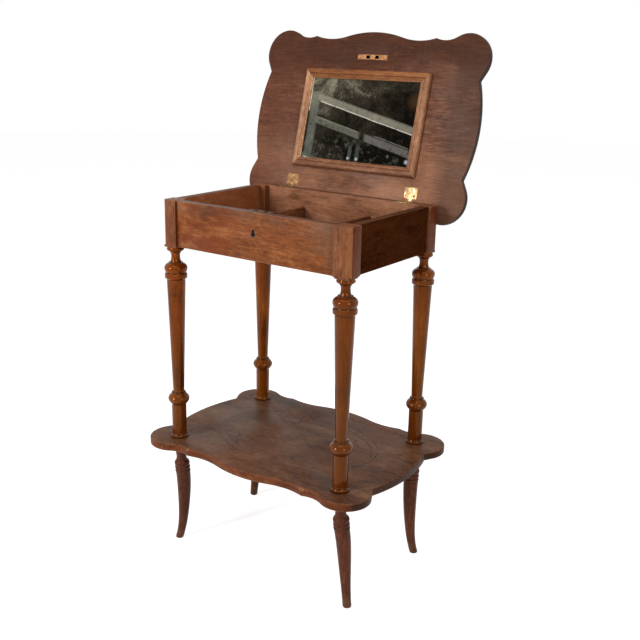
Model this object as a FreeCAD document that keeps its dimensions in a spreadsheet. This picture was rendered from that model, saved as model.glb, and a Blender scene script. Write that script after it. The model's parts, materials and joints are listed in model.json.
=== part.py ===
import FreeCAD
import Part
import Sketcher
import math
import os
from FreeCAD import Rotation, Vector

# A lift-top dressing table: a shallow case on four turned legs, a shaped shelf near the floor,
# sabre feet under it, and a shaped lid with a framed mirror on its inner face.
# The origin is on the floor, midway between the feet. X runs along the front, +Y to the back, +Z up.
# All lengths are millimetres. The lid is modelled open, leaning back on the rear posts.

sizes = {
    # the case
    "case_length": 420.6,
    "case_depth": 298.0,
    "case_height": 85.9,
    "post_side": 34.0,
    "post_chamfer": 8.4,
    "post_proud": 5.1,
    "apron_thickness": 16.3,
    "tenon_thickness": 8.0,
    "tenon_length": 14.0,
    "tenon_shoulder": 11.0,
    "joint_clearance": 0.1,
    "bottom_thickness": 8.0,
    "bottom_rise": 6.0,
    "bottom_tongue": 5.0,
    "partition_thickness": 6.5,
    "partition_height": 37.0,
    "partition_housing": 4.0,
    "left_partition_place": 86.7,
    "right_partition_place": 69.4,
    # the turned part of a leg, measured up from the shelf
    "leg_rise": 473.9,
    "foot_height": 221.2,
    "base_ring_diameter": 34.4,
    "base_ring_height": 5.8,
    "column_length": 65.0,
    "column_foot_diameter": 28.0,
    "column_head_diameter": 28.6,
    "ball_bead_diameter": 30.0,
    "ball_bead_height": 4.0,
    "ball_height": 20.6,
    "ball_diameter": 42.0,
    "shaft_foot_diameter": 21.9,
    "shaft_head_diameter": 35.8,
    "fillet_height": 1.4,
    "ring_height": 10.2,
    "ring_diameter": 42.8,
    "ring_chamfer": 1.6,
    "groove_height": 2.6,
    "groove_diameter": 39.0,
    "vase_height": 18.6,
    "vase_diameter": 43.0,
    "vase_shoulder_diameter": 27.0,
    "neck_length": 17.6,
    "neck_diameter": 17.0,
    "neck_flare_diameter": 21.5,
    "disc_height": 3.4,
    "disc_diameter": 21.5,
    "cup_height": 8.6,
    "cup_diameter": 33.2,
    "cup_foot_diameter": 18.6,
    "square_step": 2.4,
    "square_step_height": 3.0,
    "dowel_diameter": 12.0,
    "dowel_length": 30.0,
    # the shaped boards: the shelf and the lid share one outline, which reaches past the case
    "shelf_side_reach": 42.7,
    "shelf_front_reach": 34.5,
    "shelf_thickness": 15.2,
    "lid_side_reach": 45.7,
    "lid_front_reach": 30.0,
    "lid_thickness": 12.4,
    "board_easing": 1.4,
    # the sabre feet
    "foot_neck_diameter": 20.0,
    "foot_neck_length": 40.5,
    "foot_flare_diameter": 25.4,
    "foot_flare_height": 9.0,
    "foot_ring_diameter": 30.6,
    "foot_ring_dip": 1.7,
    "foot_rings_height": 25.6,
    "foot_shoulder_diameter": 29.0,
    "foot_upper_diameter": 25.8,
    "foot_middle_diameter": 21.8,
    "foot_lower_diameter": 18.0,
    "foot_tip_diameter": 16.4,
    "foot_tip_easing": 2.4,
    "foot_neck_shift": 1.2,
    "foot_neck_bow": 8.4,
    "foot_outward_splay": 17.0,
    "foot_inward_bow": 14.6,
    "foot_socket_spare": 0.5,
    # the hinges, cranked so that the pin lies behind and below the rim of the case
    "lid_lean_angle": 14.3,
    "lid_seat_gap": 0.3,
    "lid_stop_gap": 0.25,
    "pin_behind": 7.4,
    "pin_below": 5.8,
    "pin_setback": 9.4,
    "hinge_inset": 36.5,
    "leaf_width": 28.4,
    "leaf_rise": 22.6,
    "leaf_thickness": 1.5,
    "leaf_start": 0.6,
    "middle_knuckle": 9.4,
    "knuckle_gap": 0.3,
    "knuckle_diameter": 6.2,
    "pin_diameter": 3.0,
    "pin_running_clearance": 0.05,
    "pin_seat_clearance": 0.02,
    "metal_let_in_clearance": 0.1,
    # screws
    "hinge_screw_head_diameter": 5.6,
    "hinge_screw_shank_diameter": 2.8,
    "hinge_screw_length": 9.0,
    "screw_clearance": 0.06,
    "strike_screw_head_diameter": 4.6,
    "strike_screw_shank_diameter": 2.2,
    "strike_screw_length": 8.0,
    "hinge_screw_spread": 9.2,
    "hinge_screw_margin": 5.4,
    # the mirror and its mitred frame, on the inner face of the lid
    "frame_side_margin": 112.5,
    "frame_hinge_gap": 17.0,
    "frame_strike_gap": 22.3,
    "moulding_width": 18.6,
    "moulding_thickness": 9.0,
    "moulding_edge": 5.4,
    "moulding_crown": 4.4,
    "moulding_inner_edge": 6.4,
    "rebate_width": 6.0,
    "rebate_depth": 4.9,
    "glass_thickness": 3.0,
    "card_thickness": 1.5,
    "glass_gap": 0.3,
    "brad_diameter": 1.6,
    "brad_length": 15.0,
    "brad_place": 7.4,
    # the strike plate in the lid
    "lock_place": 4.0,
    "strike_length": 68.0,
    "strike_width": 9.4,
    "strike_thickness": 1.5,
    "strike_screw_inset": 5.6,
    "claw_slot_length": 8.4,
    "claw_slot_width": 6.6,
    "claw_mortise_depth": 9.6,
    "strike_slot_shift": 1.2,
    # the lock on the inner face of the front apron
    "lock_length": 56.0,
    "lock_height": 50.0,
    "lock_depth": 15.0,
    "lock_wall": 1.6,
    "lock_drop": 0.6,
    "claw_setback": 4.5,
    "claw_pivot_drop": 9.0,
    "claw_radius": 14.6,
    "claw_width": 3.0,
    "claw_thickness": 2.2,
    "claw_layer_gap": 0.4,
    "claw_hub_diameter": 10.0,
    "claw_tail_length": 16.0,
    "claw_tail_width": 4.0,
    "claw_pin_diameter": 3.2,
    "claw_pin_spare": 1.0,
    "key_pin_diameter": 2.4,
    "key_pin_length": 11.0,
    "lock_screw_inset": 4.4,
    # the keyhole and its inlaid rim
    "keyhole_drop": 36.0,
    "keyhole_height": 12.0,
    "keyhole_top_width": 4.6,
    "keyhole_foot_width": 7.0,
    "keyhole_waist_width": 3.4,
    "escutcheon_thickness": 1.6,
    "escutcheon_rim": 2.2,
    # how far a cut runs past the wood it cuts
    "overrun": 2.0,
}

os.makedirs("parts", exist_ok=True)
doc = FreeCAD.newDocument("DressingTable")
sheet = doc.addObject("Spreadsheet::Sheet", "Sizes")
for row, (word, value) in enumerate(sizes.items(), start=1):
    sheet.set("A%d" % row, word)
    sheet.set("B%d" % row, str(value))
    sheet.setAlias("B%d" % row, word)
doc.recompute()


class Size:
    # a length taken from the sheet, with the expression that says where it comes from
    def __init__(self, value, text):
        self.value = value
        self.text = text

    def __add__(self, other):
        return Size(self.value + number(other), "(%s + %s)" % (self.text, words(other)))

    def __radd__(self, other):
        return Size(number(other) + self.value, "(%s + %s)" % (words(other), self.text))

    def __sub__(self, other):
        return Size(self.value - number(other), "(%s - %s)" % (self.text, words(other)))

    def __rsub__(self, other):
        return Size(number(other) - self.value, "(%s - %s)" % (words(other), self.text))

    def __mul__(self, other):
        return Size(self.value * number(other), "(%s * %s)" % (self.text, words(other)))

    def __rmul__(self, other):
        return Size(number(other) * self.value, "(%s * %s)" % (words(other), self.text))

    def __truediv__(self, other):
        return Size(self.value / number(other), "(%s / %s)" % (self.text, words(other)))

    def __neg__(self):
        return Size(-self.value, "(0 - %s)" % self.text)


def number(quantity):
    return quantity.value if isinstance(quantity, Size) else float(quantity)


def words(quantity):
    return quantity.text if isinstance(quantity, Size) else "(%.9f)" % quantity


def sine(angle):
    return Size(math.sin(math.radians(angle.value)), "sin(%s * 1deg)" % angle.text)


def cosine(angle):
    return Size(math.cos(math.radians(angle.value)), "cos(%s * 1deg)" % angle.text)


class Named:
    pass


size = Named()
for word in sizes:
    setattr(size, word, Size(float(sheet.get(word)), "Sizes.%s" % word))


def bind(item, prop, quantity):
    if isinstance(quantity, Size):
        item.setExpression(prop, quantity.text)


# Helpers that draw and shape one sub-part

def new_body(label):
    body = doc.addObject("PartDesign::Body", label)
    body.Label = label
    return body


def own_plane(body, role):
    for feature in body.Origin.OriginFeatures:
        if feature.Role == role:
            return feature


def new_sketch(body, role, offset=0):
    sketch = body.newObject("Sketcher::SketchObject", body.Label + "_outline")
    sketch.AttachmentSupport = [(own_plane(body, role), "")]
    sketch.MapMode = "FlatFace"
    sketch.AttachmentOffset = FreeCAD.Placement(Vector(0, 0, number(offset)), Rotation())
    bind(sketch, "AttachmentOffset.Base.z", offset)
    return sketch


def flat(point):
    return Vector(number(point[0]), number(point[1]), 0)


def pin_vertex(constraints, links, edge, end, point):
    for kind, axis, coordinate in (("DistanceX", -2, point[0]), ("DistanceY", -1, point[1])):
        if isinstance(coordinate, Size):
            links.append((len(constraints), coordinate))
            constraints.append(Sketcher.Constraint(kind, -1, 1, edge, end, coordinate.value))
        else:
            constraints.append(Sketcher.Constraint("PointOnObject", edge, end, axis))


def add_links(sketch, constraints, links):
    sketch.addConstraint(constraints)
    for index, quantity in links:
        sketch.setExpression("Constraints[%d]" % index, quantity.text)


def draw_outline(sketch, start, steps):
    # a step is a point for a straight run, or (way point, end point) for an arc
    constraints = []
    links = []
    ends = []
    here = start
    for step in steps:
        if isinstance(step[0], tuple) or isinstance(step[0], Vector):
            way = step[0] if isinstance(step[0], Vector) else flat(step[0])
            there = step[1]
            edge = sketch.addGeometry(Part.Arc(flat(here), way, flat(there)))
            clockwise = (flat(there) - flat(here)).cross(way - flat(here)).z > 0
            ends.append((edge, 2 if clockwise else 1, 1 if clockwise else 2))
        else:
            there = step
            edge = sketch.addGeometry(Part.LineSegment(flat(here), flat(there)))
            ends.append((edge, 1, 2))
        pin_vertex(constraints, links, edge, ends[-1][2], there)
        here = there
    for index, (edge, first, last) in enumerate(ends):
        before = ends[index - 1]
        constraints.append(Sketcher.Constraint("Coincident", before[0], before[2], edge, first))
    add_links(sketch, constraints, links)


def draw_circle(sketch, centre, radius):
    edge = sketch.addGeometry(Part.Circle(flat(centre), Vector(0, 0, 1), number(radius)))
    constraints = []
    links = []
    pin_vertex(constraints, links, edge, 3, centre)
    links.append((len(constraints), radius))
    constraints.append(Sketcher.Constraint("Radius", edge, number(radius)))
    add_links(sketch, constraints, links)


def sweep_point(start, heading, end):
    # the middle of the arc that leaves start along heading (degrees) and reaches end
    chord = flat(end) - flat(start)
    turn = math.atan2(chord.y, chord.x) - math.radians(heading)
    turn = (turn + math.pi) % (2 * math.pi) - math.pi
    side = Vector(chord.y, -chord.x, 0) * (math.tan(turn / 2) / 2)
    return (flat(start) + flat(end)) * (1 / 2) + side


def heading_after(start, heading, end):
    chord = flat(end) - flat(start)
    return 2 * math.degrees(math.atan2(chord.y, chord.x)) - heading


def pad(body, sketch, length):
    feature = body.newObject("PartDesign::Pad", body.Label + "_pad")
    feature.Profile = sketch
    feature.Length = number(length)
    bind(feature, "Length", length)
    return feature


def pocket(body, sketch, depth, backwards=False):
    feature = body.newObject("PartDesign::Pocket", body.Label + "_pocket")
    feature.Profile = sketch
    feature.Length = number(depth)
    feature.Reversed = backwards
    bind(feature, "Length", depth)
    return feature


def revolve(body, sketch):
    feature = body.newObject("PartDesign::Revolution", body.Label + "_turning")
    feature.Profile = sketch
    feature.ReferenceAxis = (sketch, ["V_Axis"])
    feature.Angle = 360
    return feature


def set_base(feature, low):
    feature.Placement = FreeCAD.Placement(Vector(*[number(value) for value in low]), Rotation())
    for axis, value in zip("xyz", low):
        bind(feature, "Placement.Base." + axis, value)


def box(body, kind, low, high):
    # a box from its low corner to its high corner; kind is Additive or Subtractive
    feature = body.newObject("PartDesign::%sBox" % kind, body.Label + "_box")
    for prop, start, end in zip(("Length", "Width", "Height"), low, high):
        setattr(feature, prop, number(end) - number(start))
        bind(feature, prop, end - start)
    set_base(feature, low)
    return feature


turns = {
    "+x": Rotation(Vector(0, 1, 0), 90),
    "-x": Rotation(Vector(0, 1, 0), -90),
    "+y": Rotation(Vector(1, 0, 0), -90),
    "-y": Rotation(Vector(1, 0, 0), 90),
    "+z": Rotation(),
    "-z": Rotation(Vector(1, 0, 0), 180),
}


def aim(feature, base, direction):
    set_base(feature, base)
    feature.Placement.Rotation = turns[direction]


def cylinder(body, kind, base, direction, radius, length):
    feature = body.newObject("PartDesign::%sCylinder" % kind, body.Label + "_round")
    feature.Radius = number(radius)
    feature.Height = number(length)
    bind(feature, "Radius", radius)
    bind(feature, "Height", length)
    aim(feature, base, direction)
    return feature


def cone(body, kind, base, direction, first, second, length):
    feature = body.newObject("PartDesign::%sCone" % kind, body.Label + "_cone")
    for prop, value in (("Radius1", first), ("Radius2", second), ("Height", length)):
        setattr(feature, prop, number(value))
        bind(feature, prop, value)
    aim(feature, base, direction)
    return feature


def place(body, base, rotation=Rotation()):
    set_base(body, base)
    body.Placement.Rotation = rotation


def around_z(degrees):
    return Rotation(Vector(0, 0, 1), degrees)


# Heights and places that follow from the driving sizes

shelf_top = size.foot_height + size.shelf_thickness
rim = shelf_top + size.leg_rise
case_base = rim - size.case_height
case_half_length = size.case_length / 2
case_half_depth = size.case_depth / 2
leg_x = case_half_length - size.post_side / 2
leg_y = case_half_depth - size.post_side / 2
post_inner_x = case_half_length - size.post_side
post_inner_y = case_half_depth - size.post_side
apron_outer_x = case_half_length - size.post_proud
apron_outer_y = case_half_depth - size.post_proud
inside_x = apron_outer_x - size.apron_thickness
inside_y = apron_outer_y - size.apron_thickness
floor_of_case = case_base + size.bottom_rise + size.bottom_thickness
shelf_half_length = case_half_length + size.shelf_side_reach
shelf_half_depth = case_half_depth + size.shelf_front_reach
lid_half_length = case_half_length + size.lid_side_reach
lid_half_depth = case_half_depth + size.lid_front_reach
hinge_place = post_inner_x - size.hinge_inset

# The hinge axis, and the line V = 0 on the lid's inner face from which its pieces are measured.
# V runs up the open lid, and the lid's own Z points out of its inner face.
pin_y = apron_outer_y + size.pin_behind
pin_z = rim - size.pin_below
pin_depth = size.pin_below + size.lid_seat_gap
lid_base_y = pin_y + pin_depth * cosine(size.lid_lean_angle) + size.pin_setback * sine(size.lid_lean_angle)
lid_base_z = pin_z - pin_depth * sine(size.lid_lean_angle) + size.pin_setback * cosine(size.lid_lean_angle)
# the rear lobes of the open lid lean on the back of the posts
rear_edge = (lid_base_y - case_half_depth - size.lid_stop_gap) / sine(size.lid_lean_angle)
lid_centre = lid_half_depth - rear_edge
lid_turn = Rotation(Vector(1, 0, 0), 90 - number(size.lid_lean_angle))
# in the lid's own frame the hinge axis lies here
hinge_v = -size.pin_setback
# the strike closes over the claws, which stand a little behind the front apron
claws_y = size.claw_setback - inside_y
strike_height = pin_y - size.pin_setback - claws_y
# the mirror frame keeps its distance from the hinges, the strike and the sides of the lid
frame_half_length = lid_half_length - size.frame_side_margin
frame_low_edge = size.leaf_rise + size.frame_hinge_gap
frame_high_edge = strike_height - size.strike_width / 2 - size.frame_strike_gap


def place_on_lid(body):
    place(body, (0, lid_base_y, lid_base_z), lid_turn)


# The shaped outline: one quarter, as shares of the board's half length and half depth

bulge_end_share = (0.25, 0.935)
cusp_share = (0.54, 0.935)
dip_share = (0.615, 0.915)
lobe_start_share = (0.717, 0.957)
lobe_end_share = (0.971, 0.592)
notch_share = (0.941, 0.512)
front_bulge_share = 0.987
lobe_heading = 30.0
half_turn = 180.0


def quarter(half_length, half_depth, centre, x_side, y_side):
    # from the middle of a long edge round to the middle of a short edge, as outline steps
    def at(share):
        return (half_length * share[0] * x_side, half_depth * share[1] * y_side + centre)

    def mirrored(heading):
        return math.degrees(math.atan2(y_side * math.sin(math.radians(heading)),
                                       x_side * math.cos(math.radians(heading))))

    middle = (0, half_depth * front_bulge_share * y_side + centre)
    bulge, cusp, dip = at(bulge_end_share), at(cusp_share), at(dip_share)
    lobe, lobe_end, notch = at(lobe_start_share), at(lobe_end_share), at(notch_share)
    side = (half_length * x_side, centre)
    level = mirrored(0)
    after_bulge = heading_after(middle, level, bulge)
    return middle, [
        (sweep_point(middle, level, bulge), bulge),
        (sweep_point(bulge, after_bulge, cusp), cusp),
        (sweep_point(dip, level + half_turn, cusp), dip),
        (sweep_point(dip, level, lobe), lobe),
        (sweep_point(lobe, mirrored(lobe_heading), lobe_end), lobe_end),
        notch,
        (sweep_point(side, mirrored(90), notch), side),
    ]


def backwards(start, steps):
    # the same run of steps, from its last point to its first
    points = [start]
    for step in steps:
        points.append(step[1] if isinstance(step[0], Vector) else step)
    result = []
    for index in range(len(steps) - 1, -1, -1):
        step = steps[index]
        end = points[index]
        result.append((step[0], end) if isinstance(step[0], Vector) else end)
    return result


def board_steps(half_length, half_depth, centre):
    start, front_right = quarter(half_length, half_depth, centre, 1, -1)
    back_start, back_right = quarter(half_length, half_depth, centre, 1, 1)
    _, back_left = quarter(half_length, half_depth, centre, -1, 1)
    _, front_left = quarter(half_length, half_depth, centre, -1, -1)
    steps = front_right + backwards(back_start, back_right)
    steps += back_left + backwards(start, front_left)
    return start, steps


def board_blank(label, outline, thickness, base):
    body = new_body(label)
    sketch = new_sketch(body, "XY_Plane", base)
    draw_outline(sketch, *outline)
    board = pad(body, sketch, thickness)
    doc.recompute()
    edges = []
    for index, edge in enumerate(board.Shape.Edges, start=1):
        level = edge.BoundBox.ZMax - edge.BoundBox.ZMin
        if level < number(size.joint_clearance):
            edges.append("Edge%d" % index)
    eased = body.newObject("PartDesign::Chamfer", label + "_eased")
    eased.Base = (board, edges)
    eased.Size = number(size.board_easing)
    bind(eased, "Size", size.board_easing)
    return body


# Legs: a square post above, turned below, and a dowel that passes through the shelf into the foot

base_ring_swell_share = 0.36
base_ring_foot_share = 0.72
cove_depth_share = 0.4
cove_height_share = 3
half_share = 0.5
shaft_cove_share = 0.2
shaft_cove_middle_share = 0.6
shaft_cove_end_share = 2
vase_swell_share = 0.36
neck_waist_share = 0.52
cup_swell_share = 1.6
cup_swell_height_share = 0.44


def leg_profile():
    post_base = size.leg_rise - size.case_height
    cup_top = post_base - size.square_step_height
    cup_base = cup_top - size.cup_height
    disc_base = cup_base - size.disc_height
    neck_base = disc_base - size.neck_length
    vase_base = neck_base - size.vase_height
    ring_top = vase_base - size.groove_height
    ring_base = ring_top - size.ring_height
    shaft_top = ring_base - size.fillet_height
    column_top = size.base_ring_height + size.column_length
    ball_top = column_top + size.ball_height
    bead_top = ball_top + size.ball_bead_height
    ring_radius = size.ring_diameter / 2
    chamfered_radius = ring_radius - size.ring_chamfer
    start = (0, -size.dowel_length)
    steps = [
        (size.dowel_diameter / 2, -size.dowel_length),
        (size.dowel_diameter / 2, 0),
        (size.base_ring_diameter / 2 - size.fillet_height, 0),
        ((size.base_ring_diameter / 2, size.base_ring_height * base_ring_swell_share),
         (size.base_ring_diameter / 2 - size.fillet_height,
          size.base_ring_height * base_ring_foot_share)),
        ((size.column_foot_diameter / 2 + size.fillet_height * cove_depth_share,
          size.base_ring_height),
         (size.column_foot_diameter / 2,
          size.base_ring_height + size.fillet_height * cove_height_share)),
        (size.column_head_diameter / 2, column_top - size.fillet_height),
        (size.column_head_diameter / 2 + size.fillet_height, column_top),
        ((size.ball_diameter / 2, column_top + size.ball_height * half_share),
         (size.ball_bead_diameter / 2 - size.fillet_height, ball_top)),
        ((size.ball_bead_diameter / 2, ball_top + size.ball_bead_height * half_share),
         (size.shaft_foot_diameter / 2 + size.fillet_height, bead_top)),
        ((size.shaft_foot_diameter / 2 + size.fillet_height * shaft_cove_share,
          bead_top + size.fillet_height * shaft_cove_middle_share),
         (size.shaft_foot_diameter / 2, bead_top + size.fillet_height * shaft_cove_end_share)),
        (size.shaft_head_diameter / 2, shaft_top),
        (chamfered_radius, ring_base),
        (ring_radius, ring_base + size.ring_chamfer),
        (ring_radius, ring_top - size.ring_chamfer),
        (chamfered_radius, ring_top),
        (size.groove_diameter / 2, ring_top),
        (size.groove_diameter / 2, vase_base),
        ((size.vase_diameter / 2, vase_base + size.vase_height * vase_swell_share),
         (size.vase_shoulder_diameter / 2, neck_base - size.fillet_height)),
        (size.vase_shoulder_diameter / 2, neck_base),
        (size.neck_flare_diameter / 2, neck_base),
        ((size.neck_diameter / 2, neck_base + size.neck_length * neck_waist_share),
         (size.cup_foot_diameter / 2, disc_base)),
        ((size.disc_diameter / 2, disc_base + size.disc_height * half_share),
         (size.cup_foot_diameter / 2, cup_base)),
        ((size.cup_diameter / 2 - size.fillet_height * cup_swell_share,
          cup_base + size.cup_height * cup_swell_height_share),
         (size.cup_diameter / 2, cup_top - size.fillet_height)),
        (size.cup_diameter / 2, cup_top),
        (0, cup_top),
        start,
    ]
    return start, steps, cup_top, post_base


def make_leg(label, x_side, y_side, quarter_turns):
    body = new_body(label)
    sketch = new_sketch(body, "XZ_Plane")
    start, steps, cup_top, post_base = leg_profile()
    draw_outline(sketch, start, steps)
    revolve(body, sketch)
    half = size.post_side / 2
    step_half = half - size.square_step
    box(body, "Additive", (-step_half, -step_half, cup_top), (step_half, step_half, post_base))
    square = new_sketch(body, "XY_Plane", post_base)
    corner = half - size.post_chamfer
    draw_outline(square, (-half, -half), [
        (half, -half), (half, corner), (corner, half), (-half, half), (-half, -half)])
    pad(body, square, size.case_height)
    # mortises for the tenons of the two aprons that meet here
    middle = half - size.post_proud - size.apron_thickness / 2
    reach = size.tenon_length + size.joint_clearance
    side = size.tenon_thickness / 2 + size.joint_clearance
    low = post_base + size.tenon_shoulder - size.joint_clearance
    high = size.leg_rise - size.tenon_shoulder + size.joint_clearance
    box(body, "Subtractive", (-half, middle - side, low), (-half + reach, middle + side, high))
    box(body, "Subtractive", (middle - side, -half, low), (middle + side, -half + reach, high))
    place(body, (leg_x * x_side, leg_y * y_side, shelf_top), around_z(90 * quarter_turns))
    return body


# Aprons, drawn in their own frame: X along the board, Y inwards from the outer face, Z up

def apron_blank(label, half_length):
    body = new_body(label)
    box(body, "Additive", (-half_length, 0, 0),
        (half_length, size.apron_thickness, size.case_height))
    middle = size.apron_thickness / 2
    for end in (-1, 1):
        low = half_length if end > 0 else -half_length - size.tenon_length
        high = low + size.tenon_length
        box(body, "Additive",
            (low, middle - size.tenon_thickness / 2, size.tenon_shoulder),
            (high, middle + size.tenon_thickness / 2, size.case_height - size.tenon_shoulder))
    # groove for the bottom board
    low_z = size.bottom_rise - size.joint_clearance
    high_z = size.bottom_rise + size.bottom_thickness + size.joint_clearance
    groove = size.apron_thickness - size.bottom_tongue - size.joint_clearance
    box(body, "Subtractive", (-half_length, groove, low_z), (half_length, size.apron_thickness, high_z))
    return body


def house_partition(body, x):
    # a stopped housing for the end of a partition
    side = size.partition_thickness / 2 + size.joint_clearance
    low = size.bottom_rise + size.bottom_thickness - size.joint_clearance
    high = size.bottom_rise + size.bottom_thickness + size.partition_height + size.joint_clearance
    depth = size.partition_housing + size.joint_clearance
    box(body, "Subtractive", (x - side, size.apron_thickness - depth, low),
        (x + side, size.apron_thickness, high))


keyhole_waist_share = 0.12
keyhole_foot_share = 0.42
keyhole_shoulder_share = 0.3
shield_corner_share = 0.2
shield_shoulder_share = 0.76


def keyhole_steps(grow):
    # round at the top, waisted, and flared towards the foot
    top = size.keyhole_height / 2 + grow
    waist_z = size.keyhole_height * keyhole_waist_share
    foot_z = -size.keyhole_height * keyhole_foot_share - grow / 2
    waist = size.keyhole_waist_width / 2 + grow
    foot = size.keyhole_foot_width / 2 + grow
    shoulder = size.keyhole_top_width / 2 + grow
    shoulder_z = size.keyhole_height * keyhole_shoulder_share
    start = (-foot, foot_z)
    return start, [
        ((0, -size.keyhole_height / 2 - grow), (foot, foot_z)),
        (waist, waist_z),
        (shoulder, shoulder_z),
        ((0, top), (-shoulder, shoulder_z)),
        (-waist, waist_z),
        start,
    ]


def escutcheon_steps(grow):
    # a small shield, pointed above and round below
    half = size.keyhole_foot_width / 2 + size.escutcheon_rim + grow
    top = size.keyhole_height / 2 + size.escutcheon_rim + grow
    corner = size.keyhole_height * shield_corner_share
    shoulder = half * shield_shoulder_share
    start = (-half, -corner)
    return start, [
        ((0, -top), (half, -corner)),
        ((shoulder, corner), (0, top)),
        ((-shoulder, corner), start),
    ]


keyhole_z = size.case_height - size.keyhole_drop


def shift_steps(start, steps, x, z):
    def moved(point):
        return (x + point[0], z + point[1])

    result = []
    for step in steps:
        if isinstance(step[0], tuple):
            result.append((moved(step[0]), moved(step[1])))
        else:
            result.append(moved(step))
    return moved(start), result


def make_front_apron():
    body = apron_blank("front_apron", post_inner_x)
    house_partition(body, -size.left_partition_place)
    house_partition(body, size.right_partition_place)
    recess = new_sketch(body, "XZ_Plane")
    draw_outline(recess, *shift_steps(*escutcheon_steps(size.joint_clearance), size.lock_place, keyhole_z))
    pocket(body, recess, size.escutcheon_thickness)
    hole = new_sketch(body, "XZ_Plane")
    draw_outline(hole, *shift_steps(*keyhole_steps(0), size.lock_place, keyhole_z))
    pocket(body, hole, size.apron_thickness + size.overrun)
    # pilot holes for the four screws of the lock
    for x, z in lock_screw_places():
        cylinder(body, "Subtractive", (x, size.apron_thickness, z - case_base), "-y",
                 size.strike_screw_shank_diameter / 2 + size.screw_clearance,
                 size.strike_screw_length)
    place(body, (0, -apron_outer_y, case_base))


def make_back_apron():
    body = apron_blank("back_apron", post_inner_x)
    house_partition(body, size.left_partition_place)
    house_partition(body, -size.right_partition_place)
    for side in (-1, 1):
        centre = hinge_place * side
        half = size.leaf_width / 2 + size.metal_let_in_clearance
        box(body, "Subtractive",
            (centre - half, 0, size.case_height - size.leaf_thickness),
            (centre + half, size.apron_thickness, size.case_height))
        for x in (-1, 0, 1):
            cylinder(body, "Subtractive",
                     (centre + size.hinge_screw_spread * x, size.apron_thickness / 2,
                      size.case_height - size.leaf_thickness), "-z",
                     size.hinge_screw_shank_diameter / 2 + size.screw_clearance,
                     size.hinge_screw_length)
    place(body, (0, apron_outer_y, case_base), around_z(180))


def make_side_apron(label, side):
    body = apron_blank(label, post_inner_y)
    place(body, (apron_outer_x * side, 0, case_base), around_z(90 * side))


def make_escutcheon():
    body = new_body("keyhole_escutcheon")
    sketch = new_sketch(body, "XZ_Plane")
    draw_outline(sketch, *escutcheon_steps(0))
    # the pad runs towards the front, so the plate ends flush with the face of the apron
    pad(body, sketch, size.escutcheon_thickness)
    hole = new_sketch(body, "XZ_Plane", size.escutcheon_thickness)
    draw_outline(hole, *keyhole_steps(0))
    pocket(body, hole, size.escutcheon_thickness + size.overrun)
    place(body, (size.lock_place, size.escutcheon_thickness - apron_outer_y, case_base + keyhole_z))


def make_bottom_board():
    body = new_body("case_bottom")
    reach_x = inside_x + size.bottom_tongue
    reach_y = inside_y + size.bottom_tongue
    clear_x = post_inner_x - size.joint_clearance
    clear_y = post_inner_y - size.joint_clearance
    box(body, "Additive", (-reach_x, -clear_y, 0), (reach_x, clear_y, size.bottom_thickness))
    box(body, "Additive", (-clear_x, -reach_y, 0), (clear_x, reach_y, size.bottom_thickness))
    place(body, (0, 0, case_base + size.bottom_rise))


def make_partition(label, x):
    body = new_body(label)
    half = size.partition_thickness / 2
    reach = inside_y + size.partition_housing
    box(body, "Additive", (-half, -reach, 0), (half, reach, size.partition_height))
    place(body, (x, 0, floor_of_case))


def make_shelf():
    outline = board_steps(shelf_half_length, shelf_half_depth, 0)
    body = board_blank("shelf", outline, size.shelf_thickness, 0)
    for x_side in (-1, 1):
        for y_side in (-1, 1):
            cylinder(body, "Subtractive", (leg_x * x_side, leg_y * y_side, -size.overrun), "+z",
                     size.dowel_diameter / 2 + size.joint_clearance,
                     size.shelf_thickness + size.overrun * 2)
    place(body, (0, 0, size.foot_height))


# Sabre feet: a turned neck and rings, then a round shaft that bows to the middle and splays
# sideways at the tip. Each is drawn from its top face downwards.

foot_station_shares = (0.0, 0.32, 0.56, 0.79, 1.0)
foot_splay_shares = (0.0, 0.2, 0.36, 0.6, 1.0)
foot_bow_shares = (0.0, 0.86, 1.0, 0.86, 0.2)
foot_ring_shares = (0.4, 0.34, 0.26)
foot_flare_share = 0.35
foot_rings_foot = size.foot_neck_length + size.foot_rings_height


def foot_neck_centre(drop_share, x_side, y_side):
    # the neck and rings lean a little to the middle of the table, as the shaft does
    return (size.foot_neck_shift * drop_share * x_side, -size.foot_neck_bow * drop_share * y_side)


def join_circles(body, kind, levels, centres, diameters):
    sections = []
    for level, centre, diameter in zip(levels, centres, diameters):
        section = new_sketch(body, "XY_Plane", level)
        draw_circle(section, centre, diameter / 2)
        sections.append(section)
    loft = body.newObject("PartDesign::AdditiveLoft", "%s_%s" % (body.Label, kind))
    loft.Profile = sections[0]
    loft.Sections = sections[1:]
    return loft


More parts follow.
